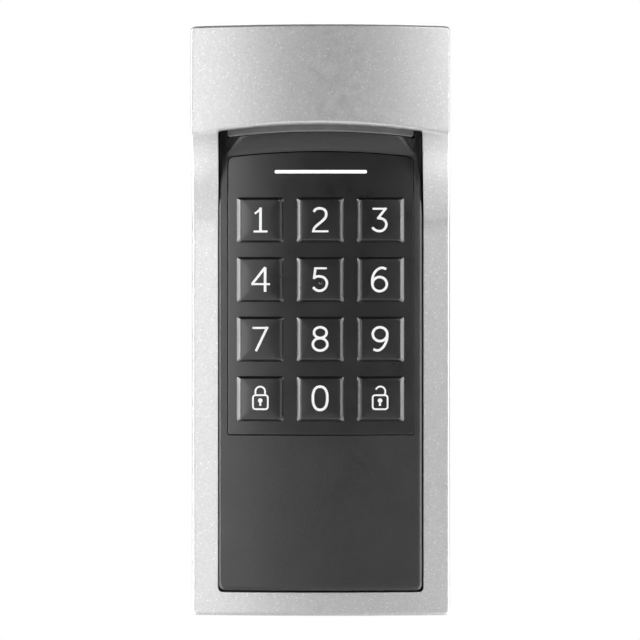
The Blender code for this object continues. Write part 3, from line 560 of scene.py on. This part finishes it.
def print_white_painted_glow():
    # The white print is also given a weak emission: a painted glow, as the print is no lamp
    m = Material("legend_print_painted_glow").set(Emission_Strength=0.22)
    tone = m.mix(m.spread(m.noise(0.5)), grey(0.80), grey(0.88))
    return m.use(Base_Color=tone, Emission_Color=tone, Roughness=m.spread(m.noise(0.3), 0.45, 0.6)).data


def light_guide():
    m = Material("lit_light_guide").set(Emission_Strength=0.6)
    glow = m.mix(m.spread(m.noise(2.5)), (0.92, 0.93, 0.95), grey(1.0))
    return m.use(Base_Color=glow, Emission_Color=glow, Roughness=m.spread(m.noise(0.6), 0.25, 0.35)).data


def smoked_lens():
    m = Material("smoked_diffuser").set(Coat_Weight=0.3, Coat_Roughness=0.2)
    tone = m.mix(m.spread(m.noise(3.0, 3.0)), (0.215, 0.215, 0.22), (0.265, 0.265, 0.27))
    return m.use(Base_Color=tone, Roughness=m.spread(m.noise(0.4), 0.35, 0.45),
                 Normal=m.bump(m.noise(0.3), 0.2, 0.02)).data


def plain_metal(name, tone, rough):
    m = Material(name).set(Metallic=1.0)
    streaks = m.noise(0.12, 4.0, 0.7)
    colour = m.mix(m.spread(m.noise(1.6, 3.0)), grey(tone * 0.88), grey(tone))
    level = m.spread(streaks, rough - 0.06, rough + 0.08)
    return m.use(Base_Color=colour, Roughness=level, Normal=m.bump(streaks, 0.25, 0.01)).data


def tinted(name, colour, rough, size=0.6, depth=0.02, spread=0.15, metallic=0.0):
    m = Material(name).set(Metallic=metallic)
    fine, coarse = m.noise(size, 3.0), m.noise(size * 9, 2.0)
    dark, light = (tuple(c * k for c in colour) for k in (1 - spread, 1 + spread))
    blend = m.remap(m.maths("ADD", fine, coarse), 0.7, 1.3, 0.0, 1.0)
    level = m.spread(fine, rough - 0.05, rough + 0.05)
    return m.use(Base_Color=m.mix(blend, dark, light), Roughness=level, Normal=m.bump(fine, 0.3, depth)).data


SILVER = silver_paint()
BLACK = spark_plastic("black_spark_plastic", 0.011, 0.37)
CASE_BLACK = spark_plastic("rear_case_plastic", 0.025, 0.5, 0.6)
RUBBER = satin_rubber("keypad_silicone", 0.3)
PIP_RUBBER = satin_rubber("pip_silicone", 0.12)
WHITE_PRINT_PAINTED_GLOW = print_white_painted_glow()
GUIDE = light_guide()
LENS = smoked_lens()
STEEL = plain_metal("nickel_plated_steel", 0.62, 0.3)
SPRING = plain_metal("spring_contact_steel", 0.66, 0.26)
NODE_LOOKS = {
    "grey_plastic": tinted("grey_moulded_plastic", (0.2, 0.2, 0.21), 0.5),
    "green_board": tinted("board_solder_resist", (0.03, 0.15, 0.07), 0.4, 0.8),
    "bright_steel": STEEL,
    "spring_steel": SPRING,
    "cell_jacket": tinted("cell_printed_jacket", (0.08, 0.19, 0.4), 0.32, 1.2, 0.01, 0.1, 0.3),
    "chip_epoxy": tinted("chip_black_epoxy", (0.02, 0.02, 0.02), 0.6, 0.2),
    "seal_rubber": tinted("seal_matt_rubber", (0.04, 0.04, 0.045), 0.8, 0.3),
    "dome_film": tinted("milky_dome_film", (0.7, 0.7, 0.66), 0.35, 1.5, 0.01, 0.05),
    "red_insulation": tinted("red_wire_insulation", (0.5, 0.02, 0.02), 0.45, 0.5),
    "black_insulation": tinted("black_wire_insulation", (0.02, 0.02, 0.02), 0.45, 0.5),
    "black_plastic": CASE_BLACK,
    "white_light_guide": tinted("led_white_resin", (0.85, 0.85, 0.8), 0.35, 0.4, 0.01, 0.05),
}


def dress(piece, material, body, slot, *nodes):
    piece.data.materials.clear()
    piece.data.materials.append(material)
    if body:
        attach(piece, body)
    if nodes:
        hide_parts(*nodes)
    return piece


# ---- Silver hood bezel -----------------------------------------------------------------------------------
def fade(value, start, end):
    t = min(max((value - start) / (end - start), 0.0), 1.0)
    return t * t * (3 - 2 * t)


def side_lean(z, full, draft):
    """Share of its full width that an outline keeps at height z: it leans in as the cheeks come forward."""
    ahead = bezel_front(full, z) + bulge(full) - RAIL_DEPTH
    return 1 - draft * max(ahead, 0.0) / full


def make_bezel():
    top = HALF_HEIGHT
    outline = rounded(HALF_WIDTH, -top, 0.0, 0.95, crown=top, top_radius=1.1, pitch=0.5, count=6, sag=0.12)
    leaned = [(x * side_lean(z, HALF_WIDTH, OUTLINE_DRAFT), z) for x, z in outline]
    window = rounded(WINDOW_HALF, WINDOW_BOTTOM, 0.0, 1.0, crown=LIP_Z + 0.1, top_radius=0.4, pitch=0.5)
    window = [(x * side_lean(z, WINDOW_HALF, WINDOW_DRAFT) * WINDOW_OPENING / WINDOW_HALF, z)
              for x, z in window]
    builder = Builder()

    def outer_radius(x, z):
        along_top = z > top - 2
        return 0.6 if along_top else 0.75 - 0.25 * fade(z, 22.0, 30.0)

    def window_radius(x, z):
        """Nearly sharp at the rails and the cheeks, rounder along the lip."""
        return 0.18 + 0.67 * fade(z - arch(x, LIP_Z), -0.7, 0.0)

    def inside_front(x, z):
        return bezel_front(x, z) - BEZEL_WALL

    front, rim = edge_rings(builder, leaned, False, bezel_front, outer_radius, BEZEL_BACK, 6, outline)
    inset = [(x * (1 - BEZEL_WALL / HALF_WIDTH), z * (1 - BEZEL_WALL / top)) for x, z in outline]
    inner_rim = builder.ring([(x, BEZEL_BACK, z) for x, z in inset])
    builder.bridge(rim, inner_rim)
    inner = builder.ring([(x, inside_front(x, z), z) for x, z in inset])
    builder.bridge(inner_rim, inner)
    opening, opening_back = edge_rings(builder, window, True, bezel_front, window_radius, inside_front, 5)
    near_lip = [(x, arch(x, LIP_Z) + z) for z in steps(-2.4, 1.2, 24) for x in steps(-28.5, 28.5, 76)]
    builder.fill([front, opening], bezel_front, (1.2, 1.2), near_lip)
    builder.fill([inner, opening_back], inside_front, (2.5, 2.5))
    return dress(builder.piece("silver_hood_bezel", 40.0), SILVER, "case", "silver_lacquer", "hood_bezel")


# ---- Black cover -----------------------------------------------------------------------------------------
def lens_loop(grow=0.0):
    half, radius = PANEL_HALF + grow, LENS_CORNER
    loop = [(x, arch(x, LENS_BOTTOM - grow)) for x in steps(radius - half, half - radius, 28)]
    low = loop[-1][1] + radius
    right = [(half - radius + radius * math.cos(math.radians(a)), low + radius * math.sin(math.radians(a)))
             for a in steps(-90, 0, 5)[1:]]
    top = [(x, arch(x, LENS_TOP + grow)) for x in steps(half, -half, 28)]
    return dense(loop + right + top + [(-x, z) for x, z in reversed(right)], 1.2)


def make_cover():
    outline = rounded(COVER_HALF, COVER_BOTTOM, COVER_TOP, 1.25, top_radius=0.8, pitch=1.0, count=6)
    outline = [(x * 1.005 if x < 0 else x, z) for x, z in outline]
    seam = rounded(PANEL_HALF + SIDE_SEAM, PANEL_BOTTOM - SEAM, 0.0, 0.55, crown=PANEL_TOP + SEAM,
                   top_radius=PANEL_CORNER + SEAM, pitch=1.0)

    def edge(x, z):
        """Edge radius: larger along the bottom and the right side. The hood hides the top."""
        share = min(max((-z - 58.5) / 2.2, 0.0), 1.0)
        if z > LENS_TOP:
            return 0.6
        return 0.95 if x > 20.0 else 0.6 + 0.35 * share

    cove = [(x, arch(x, PANEL_TOP) + z) for z in steps(0.3, 5.6, 16) for x in steps(-22.9, 22.9, 92)]
    cover = plate("black_front_cover", outline, [seam, lens_loop(SEAM)], cover_front, COVER_BACK, edge,
                  (1.5, 1.5), hole_radius=0.12, extra=cove)
    dress(cover, BLACK, "case", "black_plastic", "front_cover")

    soffit = Builder()
    sections = []
    for x in steps(-22.6, 22.6, 30):
        low, high, front = arch(x, LENS_TOP + 0.4), COVER_TOP - 0.1, SOFFIT_DEPTH - bulge(x)
        section = ((FLANGE_FRONT, low), (front - 0.4, low), (front, low + 0.4), (front, high),
                   (FLANGE_FRONT, high))
        sections.append(soffit.ring([(x, depth, z) for depth, z in section]))
    for first, second in zip(sections, sections[1:]):
        soffit.bridge(first, second)
    soffit.faces += [tuple(sections[0]), tuple(reversed(sections[-1]))]
    dress(soffit.piece("hood_soffit"), BLACK, "case", "black_plastic")

    flange = plate("cover_flange", rounded(27.0, -63.8, 63.6, 2.0), [rounded(20.9, -25.0, 36.8, 1.0)],
                   lambda x, z: FLANGE_FRONT, FLANGE_BACK, pitch=None)
    dress(flange, CASE_BLACK, "case", "black_plastic")


def make_lens():
    lens = plate("hood_light_diffuser", lens_loop(), [], lambda x, z: LENS_DEPTH - bulge(x), LENS_BACK, 0.22,
                 (1.5, 1.0))
    dress(lens, LENS, "case", "smoked_lens", "hood_light_lens")


# ---- Keypad ----------------------------------------------------------------------------------------------
def key_places():
    for row, names in enumerate(KEY_NAMES):
        for column, name in enumerate(names):
            yield name, (column - 1) * KEY_PITCH_X + KEY_SHIFT, KEY_TOP_ROW_Z - row * KEY_PITCH_Z


def key_loop(x, z, inset_x, inset_z, radius, side=9, count=4):
    """A rounded rectangle round a key's centre, always with the same number of points."""
    w, h = KEY_HALF_W - inset_x, KEY_HALF_H - inset_z
    corners = ((w - radius, radius - h, -90), (w - radius, h - radius, 0), (radius - w, h - radius, 90),
               (radius - w, radius - h, 180))
    loop = []
    for i, (cx, cz, start) in enumerate(corners):
        loop += corner_arc(cx, cz, radius, start, count)
        nx, nz, turn = corners[(i + 1) % 4]
        a = math.radians(turn)
        end = (nx + radius * math.cos(a), nz + radius * math.sin(a))
        last = loop[-1]
        loop += [(last[0] + (end[0] - last[0]) * k / side, last[1] + (end[1] - last[1]) * k / side)
                 for k in range(1, side)]
    return [(x + px, z + pz) for px, pz in loop]


def crown_level(inset):
    """Height of a key's face over the panel at a distance in from the flank's top."""
    roll = max(1 - inset / CROWN_REACH, 0.0)
    return KEY_RISE - CROWN_DROP * roll * roll


def key_face(cx, cz):
    def depth(x, z):
        inset = min(KEY_HALF_W - FLANK_X - abs(x - cx), KEY_HALF_H - FLANK_Z - abs(z - cz))
        return COVER_DEPTH - bulge(x) + crown_level(max(inset, 0.0))
    return depth


def key_profile():
    """Rings of a key from its foot up the flanks and over the face, as (inset x, inset z, height, corner)."""
    shoulder = KEY_RISE - CROWN_DROP
    rings = [(0.0, 0.0, 0.0, KEY_CORNER)]
    for t in (0.15, 0.35, 0.55, 0.75, 0.9):
        rings.append((FLANK_X * t, FLANK_Z * t, shoulder * (t * 1.12 - t * t * 0.12), KEY_CORNER - 0.1 * t))
    roll = {-0.02: 0.035, 0.05: 0.008}
    for e in (*roll, 0.14, 0.3, 0.6, 1.0, 1.5, 2.0, 2.5, 2.9, 3.3, 3.9):
        rings.append((FLANK_X + e, FLANK_Z + e, crown_level(e) - roll.get(e, 0.0), min(0.34 + 0.1 * e, 0.46)))
    return rings


def make_keys():
    for name, x, z in key_places():
        builder = Builder()
        last = bottom = builder.ring([(px, COVER_DEPTH - bulge(px) - KEY_FOOT, pz)
                                      for px, pz in key_loop(x, z, 0.03, 0.03, 0.42)])
        for inset_x, inset_z, level, radius in key_profile():
            ring = builder.ring([(px, COVER_DEPTH - bulge(px) + level, pz)
                                 for px, pz in key_loop(x, z, inset_x, inset_z, radius)])
            builder.bridge(last, ring)
            last = ring
        builder.fan(last, (x, COVER_DEPTH - bulge(x) + KEY_RISE, z))
        builder.fan(bottom[::-1], (x, COVER_DEPTH - bulge(x) - KEY_FOOT, z))
        cap = builder.piece("cap_" + name, 30.0)
        dress(cap, RUBBER, None, "keypad_rubber", name)
        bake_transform(cap)


def make_panel():
    outline = rounded(PANEL_HALF, PANEL_BOTTOM, 0.0, 0.45, crown=PANEL_TOP, top_radius=PANEL_CORNER,
                      pitch=1.0)
    holes = [key_loop(x, z, 0.0, 0.0, KEY_CORNER) for _, x, z in key_places()]
    slot = bar_loop(0.04)
    sheet = plate("keypad_skin", outline, [*holes, slot], panel_front, lambda x, z: panel_front(x, z) - 1.0,
                  0.13, (1.5, 1.5), hole_radius=0.01)
    dress(sheet, RUBBER, "case", "keypad_rubber", "keypad_overlay")


def bar_loop(grow):
    return rounded(BAR_HALF + grow, BAR_Z - BAR_HALF_HEIGHT - grow, BAR_Z + BAR_HALF_HEIGHT + grow,
                   BAR_HALF_HEIGHT + grow * 0.98, pitch=0.8)


def make_bar():
    bar = plate("status_light_bar", bar_loop(0.0), [], lambda x, z: panel_front(x, z) - 0.02, BAR_BACK, 0.1,
                (1.0, 0.4))
    dress(bar, GUIDE, "case", "white_light_guide", "status_light_guide")


# ---- Legends ---------------------------------------------------------------------------------------------
def curve_path(points):
    """A smooth path through the points."""
    points = [Vector(p) for p in points]
    padded = [points[0] * 2 - points[1], *points, points[-1] * 2 - points[-2]]
    found = []
    for a, b, c, d in zip(padded, padded[1:], padded[2:], padded[3:]):
        for t in steps(0.0, 1.0, 6)[:-1]:
            p = b * 2 + (c - a) * t + (a * 2 - b * 5 + c * 4 - d) * t * t + (b * 3 - a - c * 3 + d) * t**3
            found.append(tuple(p / 2))
    return found + [tuple(points[-1])]


def ellipse(cx, cz, rx, rz, start, end, power=2.0, count=32):
    """Part of a superellipse, anticlockwise from start to end in degrees."""
    found = []
    for a in steps(start, end, max(int(abs(end - start) / 360 * count), 4)):
        c, s = math.cos(math.radians(a)), math.sin(math.radians(a))
        found.append((cx + rx * math.copysign(abs(c) ** (2 / power), c),
                      cz + rz * math.copysign(abs(s) ** (2 / power), s)))
    return found


def ribbon(path, width, closed=False):
    """The outlines of a stroke of the given width along a path."""
    count = len(path)
    left, right = [], []
    for i, p in enumerate(path):
        before = path[i - 1] if (i or closed) else p
        after = path[(i + 1) % count] if (i < count - 1 or closed) else p
        p, before, after = Vector(p), Vector(before), Vector(after)
        first, second = p - before, after - p
        first = first.normalized() if first.length > 1e-9 else second.normalized()
        second = second.normalized() if second.length > 1e-9 else first
        n1, n2 = Vector((-first.y, first.x)), Vector((-second.y, second.x))
        mean = (n1 + n2).normalized()
        n = mean / max(mean.dot(n1), 0.45) * width / 2
        left.append(tuple(p + n))
        right.append(tuple(p - n))
    return [left, right] if closed else [left + right[::-1]]


def disc(cx, cz, radius, count=20):
    return [(cx + radius * math.cos(2 * math.pi * i / count), cz + radius * math.sin(2 * math.pi * i / count))
            for i in range(count)]


# Widths of the printed strokes, in millimetres.
STEM = 0.61
LEVEL = 0.46
BOWL = STEM * 0.95
HOOK = STEM * 0.93
SLANT = STEM * 0.9
ICON = 0.4
GLYPH_X, GLYPH_Z = 0.945, 0.935  # scale of the printed shapes
LEGEND_LIFT = 0.035
LEGEND_SINK = 0.06
PRINT_PITCH_X, PRINT_PITCH_Z = 0.9935, 0.9953  # share of the keys' pitch
PRINT_SHIFT_X, PRINT_SHIFT_Z = -0.04, 0.06


def rounded_path(half_w, half_h, cx, cz, radius):
    return [(cx + px, cz + pz) for px, pz in rounded(half_w, -half_h, half_h, radius, pitch=1.0, count=4)]


def line(width, *points):
    return points, width, False


def curve(width, *points):
    return curve_path(points), width, False


def oval(width, cx, cz, rx, rz, power=2.0, count=32):
    return ellipse(cx, cz, rx, rz, 0, 360, power, count)[:-1], width, True


def glyphs():
    """For each key: strokes as (path, width, closed) and filled shapes, all placed from the key's centre."""
    body = rounded_path(1.79, 1.71, 0.03, -0.97, 0.62), ICON, True
    keyhole = [disc(0.0, -0.58, 0.56), [(-0.2, -0.8), (0.2, -0.8), (0.27, -1.85), (-0.27, -1.85)]]
    shackle = [(-1.16, 1.0), (-1.16, 1.6), *ellipse(0.0, 1.65, 1.16, 1.16, 180, 0)[1:-1], (1.16, 1.6),
               (1.16, 1.0)]
    opened = [*ellipse(0.1, 1.68, 1.16, 1.16, 160, 0), (1.26, 1.3), (1.14, 0.9)]
    digits = {
        "key_1": (line(STEM, (0.06, 3.05), (0.06, -2.8)),
                  line(LEVEL, (-1.3, 1.55), (-0.6, 2.1), (0.06, 2.75)),
                  line(LEVEL, (-1.62, -2.78), (1.75, -2.78))),
        "key_2": (curve(BOWL, (-1.55, 1.95), (-1.05, 2.6), (-0.1, 2.85), (0.9, 2.6), (1.45, 1.85),
                        (1.4, 0.95), (0.95, 0.2), (0.1, -0.6), (-0.8, -1.35), (-1.4, -2.0), (-1.62, -2.7)),
                  line(LEVEL, (-1.95, -2.76), (2.0, -2.76))),
        "key_3": (line(LEVEL, (-1.8, 2.74), (1.5, 2.74)),
                  line(SLANT, (1.5, 2.95), (0.55, 1.75), (-0.6, 0.28)),
                  curve(HOOK, (-0.62, 0.42), (0.0, 0.45), (0.85, 0.15), (1.42, -0.5), (1.5, -1.3),
                        (1.1, -2.15), (0.3, -2.65), (-0.6, -2.65), (-1.35, -2.3), (-1.85, -1.8))),
        "key_4": (line(SLANT, (1.2, 2.95), (-1.95, -1.1)),
                  line(LEVEL, (-2.15, -1.14), (2.35, -1.14)),
                  line(STEM, (1.17, 2.95), (1.17, -3.0))),
        "key_5": (line(LEVEL, (-1.4, 2.7), (1.6, 2.7)),
                  line(SLANT, (-1.1, 2.9), (-1.45, 0.1)),
                  curve(HOOK, (-1.5, 0.35), (-0.85, 0.68), (0.0, 0.72), (0.95, 0.4), (1.55, -0.35),
                        (1.6, -1.3), (1.15, -2.2), (0.3, -2.72), (-0.6, -2.7), (-1.2, -2.4), (-1.68, -1.9))),
        "key_6": (oval(BOWL, -0.1, -1.14, 1.74, 1.72),
                  curve(HOOK, (-1.84, -1.1), (-1.86, -0.1), (-1.62, 1.0), (-1.05, 2.0), (-0.2, 2.65),
                        (0.65, 2.82), (1.5, 2.5))),
        "key_7": (line(LEVEL, (-1.9, 2.65), (1.9, 2.65)),
                  line(STEM * 0.92, (1.75, 2.9), (-1.05, -3.0))),
        "key_8": (oval(HOOK, 0.05, 1.52, 1.52, 1.3),
                  oval(BOWL, 0.0, -1.34, 1.74, 1.5)),
        "key_9": (oval(BOWL, 0.0, 1.14, 1.74, 1.68),
                  curve(HOOK, (1.74, 1.1), (1.7, 0.1), (1.4, -0.9), (0.85, -1.9), (0.1, -2.6), (-0.7, -2.82),
                        (-1.6, -2.55))),
        "key_0": (oval(STEM * 0.97, 0.0, 0.0, 1.74, 2.82, 2.35, 48),),
    }
    found = {name: (strokes, []) for name, strokes in digits.items()}
    found["key_lock"] = ((body, line(ICON, *shackle)), keyhole)
    found["key_unlock"] = ((body, line(ICON, *opened)), keyhole)
    return found


def make_legend(name, cx, cz, strokes, fills):
    """A printed legend: the union of its strokes as a thin raised film that follows the key's crown."""
    strokes = [([(px * GLYPH_X, pz * GLYPH_Z) for px, pz in path], width, closed)
               for path, width, closed in strokes]
    fills = [[(px * GLYPH_X, pz * GLYPH_Z) for px, pz in shape] for shape in fills]
    loops = [loop for path, width, closed in strokes for loop in ribbon(path, width, closed)] + fills
    loops = [dense(loop, 0.35) for loop in loops]
    flat, edges = [], []
    for loop in loops:
        start = len(flat)
        flat += [Vector(p) for p in loop]
        edges += [(start + i, start + (i + 1) % len(loop)) for i in range(len(loop))]

    def printed(middle):
        for path, width, closed in strokes:
            bounds = ribbon(path, width, closed)
            if inside(middle, bounds[0])[0] != (closed and inside(middle, bounds[1])[0]):
                return True
        return any(inside(middle, shape)[0] for shape in fills)

    verts, _, kept = triangulate(flat, edges, printed)
    depth = key_face(cx, cz)

    def place(i, lift):
        x = cx * PRINT_PITCH_X + PRINT_SHIFT_X + verts[i].x
        z = cz * PRINT_PITCH_Z + PRINT_SHIFT_Z + verts[i].y
        return x * MM, -(depth(x, z) + lift) * MM, z * MM

    bm = bmesh.new()
    used = sorted({i for face in kept for i in face})
    sides = [{i: bm.verts.new(place(i, lift)) for i in used} for lift in (LEGEND_LIFT, -LEGEND_SINK)]
    count = {}
    for face in kept:
        bm.faces.new([sides[0][i] for i in face])
        bm.faces.new([sides[1][i] for i in reversed(face)])
        for i, j in zip(face, (*face[1:], face[0])):
            count[(i, j)] = count.get((i, j), 0) + 1
    for i, j in count:
        if (j, i) not in count:
            bm.faces.new([sides[0][i], sides[1][i], sides[1][j], sides[0][j]])
    bmesh.ops.recalc_face_normals(bm, faces=bm.faces)
    legend = mesh_piece("legend_" + name, bm, 40.0)
    dress(legend, WHITE_PRINT_PAINTED_GLOW, name, "keypad_rubber")


def make_pip():
    """The small dome on the middle key that a finger can find."""
    x, z = -0.05, KEY_TOP_ROW_Z - KEY_PITCH_Z - 0.85
    face = key_face(0.0, KEY_TOP_ROW_Z - KEY_PITCH_Z)
    builder = Builder()
    last = bottom = None
    for turn in steps(-0.35, math.pi / 2 - 0.15, 8):
        radius, height = PIP_RADIUS * math.cos(turn), PIP_HEIGHT * math.sin(turn)
        ring = builder.ring([(px, face(x, z) + height, pz) for px, pz in disc(x, z, radius, 24)])
        if last:
            builder.bridge(last, ring)
        else:
            bottom = ring
        last = ring
    builder.fan(last, (x, face(x, z) + PIP_HEIGHT, z))
    builder.fan(bottom[::-1], (x, face(x, z) - 0.14, z))
    dress(builder.piece("tactile_pip", 60.0), PIP_RUBBER, "key_5", "keypad_rubber")


# ---- Back and inside -------------------------------------------------------------------------------------
def softened(node, name, body, material, slot, width):
    """A copy of a CAD node with its flat faces merged and its edges rounded."""
    bm = bmesh.new()
    bm.from_mesh(NODES[node].data)
    bmesh.ops.remove_doubles(bm, verts=bm.verts, dist=1e-6)
    bmesh.ops.dissolve_limit(bm, angle_limit=math.radians(1.0), verts=bm.verts, edges=bm.edges)
    made = mesh_piece(name, bm, 35.0)
    bevel = made.modifiers.new("edges", "BEVEL")
    bevel.width = width * MM
    bevel.segments = 2
    bevel.limit_method = "ANGLE"
    bevel.angle_limit = math.radians(40)
    bevel.harden_normals = True
    return dress(made, material, body, slot, node)


def dress_nodes():
    slots = {entry["node"]: entry["material_slot"] for entry in frame["record"]["subparts"]}
    for node, obj in NODES.items():
        look = NODE_LOOKS.get(slots[node])
        if look is None:
            continue
        if not obj.data.materials:
            obj.data.materials.append(look)
        for i in range(len(obj.data.materials)):
            obj.data.materials[i] = look


# ---- Stage, light and camera -----------------------------------------------------------------------------
CENTRE = (0.0, 0.0, 0.0)
# Name, place, target, size in metres, and power in watts.
LIGHTS = (
    ("left_softbox", (-0.52, -1.1, -0.02), CENTRE, (0.22, 1.2), 4.15),
    ("left_strip", (-0.36, -1.1, -0.02), CENTRE, (0.12, 1.2), 0.3),
    ("left_wall", (-0.96, -0.11, 0.0), (0.0, -0.11, 0.0), (0.26, 1.4), 13.0),
    ("right_softbox", (0.62, -1.0, 0.5), (0.0, 0.0, 0.03), (0.28, 0.5), 4.65),
    ("left_low", (-0.15, -0.3, -0.115), (-0.15, -0.3, 0.0), (0.3, 0.26), 0.13),
    ("right_low", (0.15, -0.3, -0.115), (0.15, -0.3, 0.0), (0.3, 0.26), 0.05),
    ("right_wall", (0.96, -0.08, 0.0), (0.0, -0.08, 0.0), (0.24, 1.4), 7.5),
    ("left_bounce", (-0.26, 0.08, -0.115), (-0.26, 0.08, 0.0), (0.4, 0.3), 1.0),
    ("right_bounce", (0.26, 0.08, -0.115), (0.26, 0.08, 0.0), (0.4, 0.3), 1.05),
    ("top_softbox", (0.0, 0.35, 1.1), CENTRE, (1.4, 0.9), 2.0),
    ("back_softbox", (0.0, 1.3, 0.5), CENTRE, (0.9, 0.9), 12.0),
)
BACKDROP_STRENGTH = 1.0
FILL_STRENGTH = 0.004
# Extra fill from the right and from behind: axis, direction range and strength range.
FILL_RAMPS = (("X", (0.3, 0.95, 0.0, 0.02)), ("Y", (0.2, 0.95, 0.0, 0.06)))


def area_light(name, place, target, size, power):
    light = bpy.data.lights.new(name, "AREA")
    light.shape = "RECTANGLE"
    light.size, light.size_y = size
    light.energy = power
    made = bpy.data.objects.new(name, light)
    made.location = place
    made.rotation_euler = (Vector(target) - Vector(place)).to_track_quat("-Z", "Y").to_euler()
    made.visible_camera = False
    bpy.context.scene.collection.objects.link(made)


def make_floor():
    bm = bmesh.new()
    bmesh.ops.create_grid(bm, x_segments=8, y_segments=8, size=0.6)
    floor = mesh_piece("pale_floor", bm)
    floor.location = (0.0, -0.38, -0.12)
    m = Material("floor_paper").set(Roughness=0.8)
    m.use(Base_Color=m.mix(m.noise(40.0), grey(0.86), grey(0.89)))
    floor.data.materials.append(m.data)


def make_world():
    """A faint fill that lights the object, behind a white backdrop that only the camera sees."""
    world = bpy.data.worlds.new("studio")
    bpy.context.scene.world = world
    world.use_nodes = True
    nodes, links = world.node_tree.nodes, world.node_tree.links
    background = nodes["Background"]
    direction = nodes.new("ShaderNodeTexCoord")
    split = nodes.new("ShaderNodeSeparateXYZ")
    links.new(direction.outputs["Generated"], split.inputs[0])
    total = None
    for axis, ends in FILL_RAMPS:
        ramp = nodes.new("ShaderNodeMapRange")
        ramp.interpolation_type = "SMOOTHSTEP"
        for key, number in zip(("From Min", "From Max", "To Min", "To Max"), ends):
            ramp.inputs[key].default_value = number
        links.new(split.outputs[axis], ramp.inputs["Value"])
        add = nodes.new("ShaderNodeMath")
        links.new(ramp.outputs["Result"], add.inputs[0])
        if total is None:
            add.inputs[1].default_value = FILL_STRENGTH
        else:
            links.new(total, add.inputs[1])
        total = add.outputs[0]
    path = nodes.new("ShaderNodeLightPath")
    strength = nodes.new("ShaderNodeMix")
    links.new(path.outputs["Is Camera Ray"], strength.inputs[0])
    links.new(total, strength.inputs[2])
    strength.inputs[3].default_value = BACKDROP_STRENGTH
    links.new(strength.outputs[0], background.inputs["Strength"])
    background.inputs["Color"].default_value = (1.0, 1.0, 1.0, 1.0)


def make_camera():
    data = bpy.data.cameras.new("camera")
    data.sensor_width = 36.0
    data.lens = 211.7
    data.clip_start, data.clip_end = 0.05, 20.0
    camera = bpy.data.objects.new("camera", data)
    camera.location = (0.00985, -0.88, 0.0005)
    camera.rotation_euler = (math.radians(90), 0.0, math.radians(0.67))
    bpy.context.scene.collection.objects.link(camera)
    bpy.context.scene.camera = camera
    bpy.context.scene.view_settings.view_transform = "Standard"


def main():
    make_floor()
    make_world()
    for light in LIGHTS:
        area_light(*light)
    make_camera()
    dress_nodes()
    make_bezel()
    make_cover()
    make_lens()
    make_panel()
    make_keys()
    make_bar()
    shapes = glyphs()
    for name, x, z in key_places():
        make_legend(name, x, z, *shapes[name])
    make_pip()
    softened("wall_plate", "mounting_plate", "case", CASE_BLACK, "black_plastic", 0.25)
    softened("rear_housing", "rear_shell", "case", CASE_BLACK, "black_plastic", 0.25)
    softened("battery_door", "battery_hatch", "battery_door", CASE_BLACK, "black_plastic", 0.15)


main()
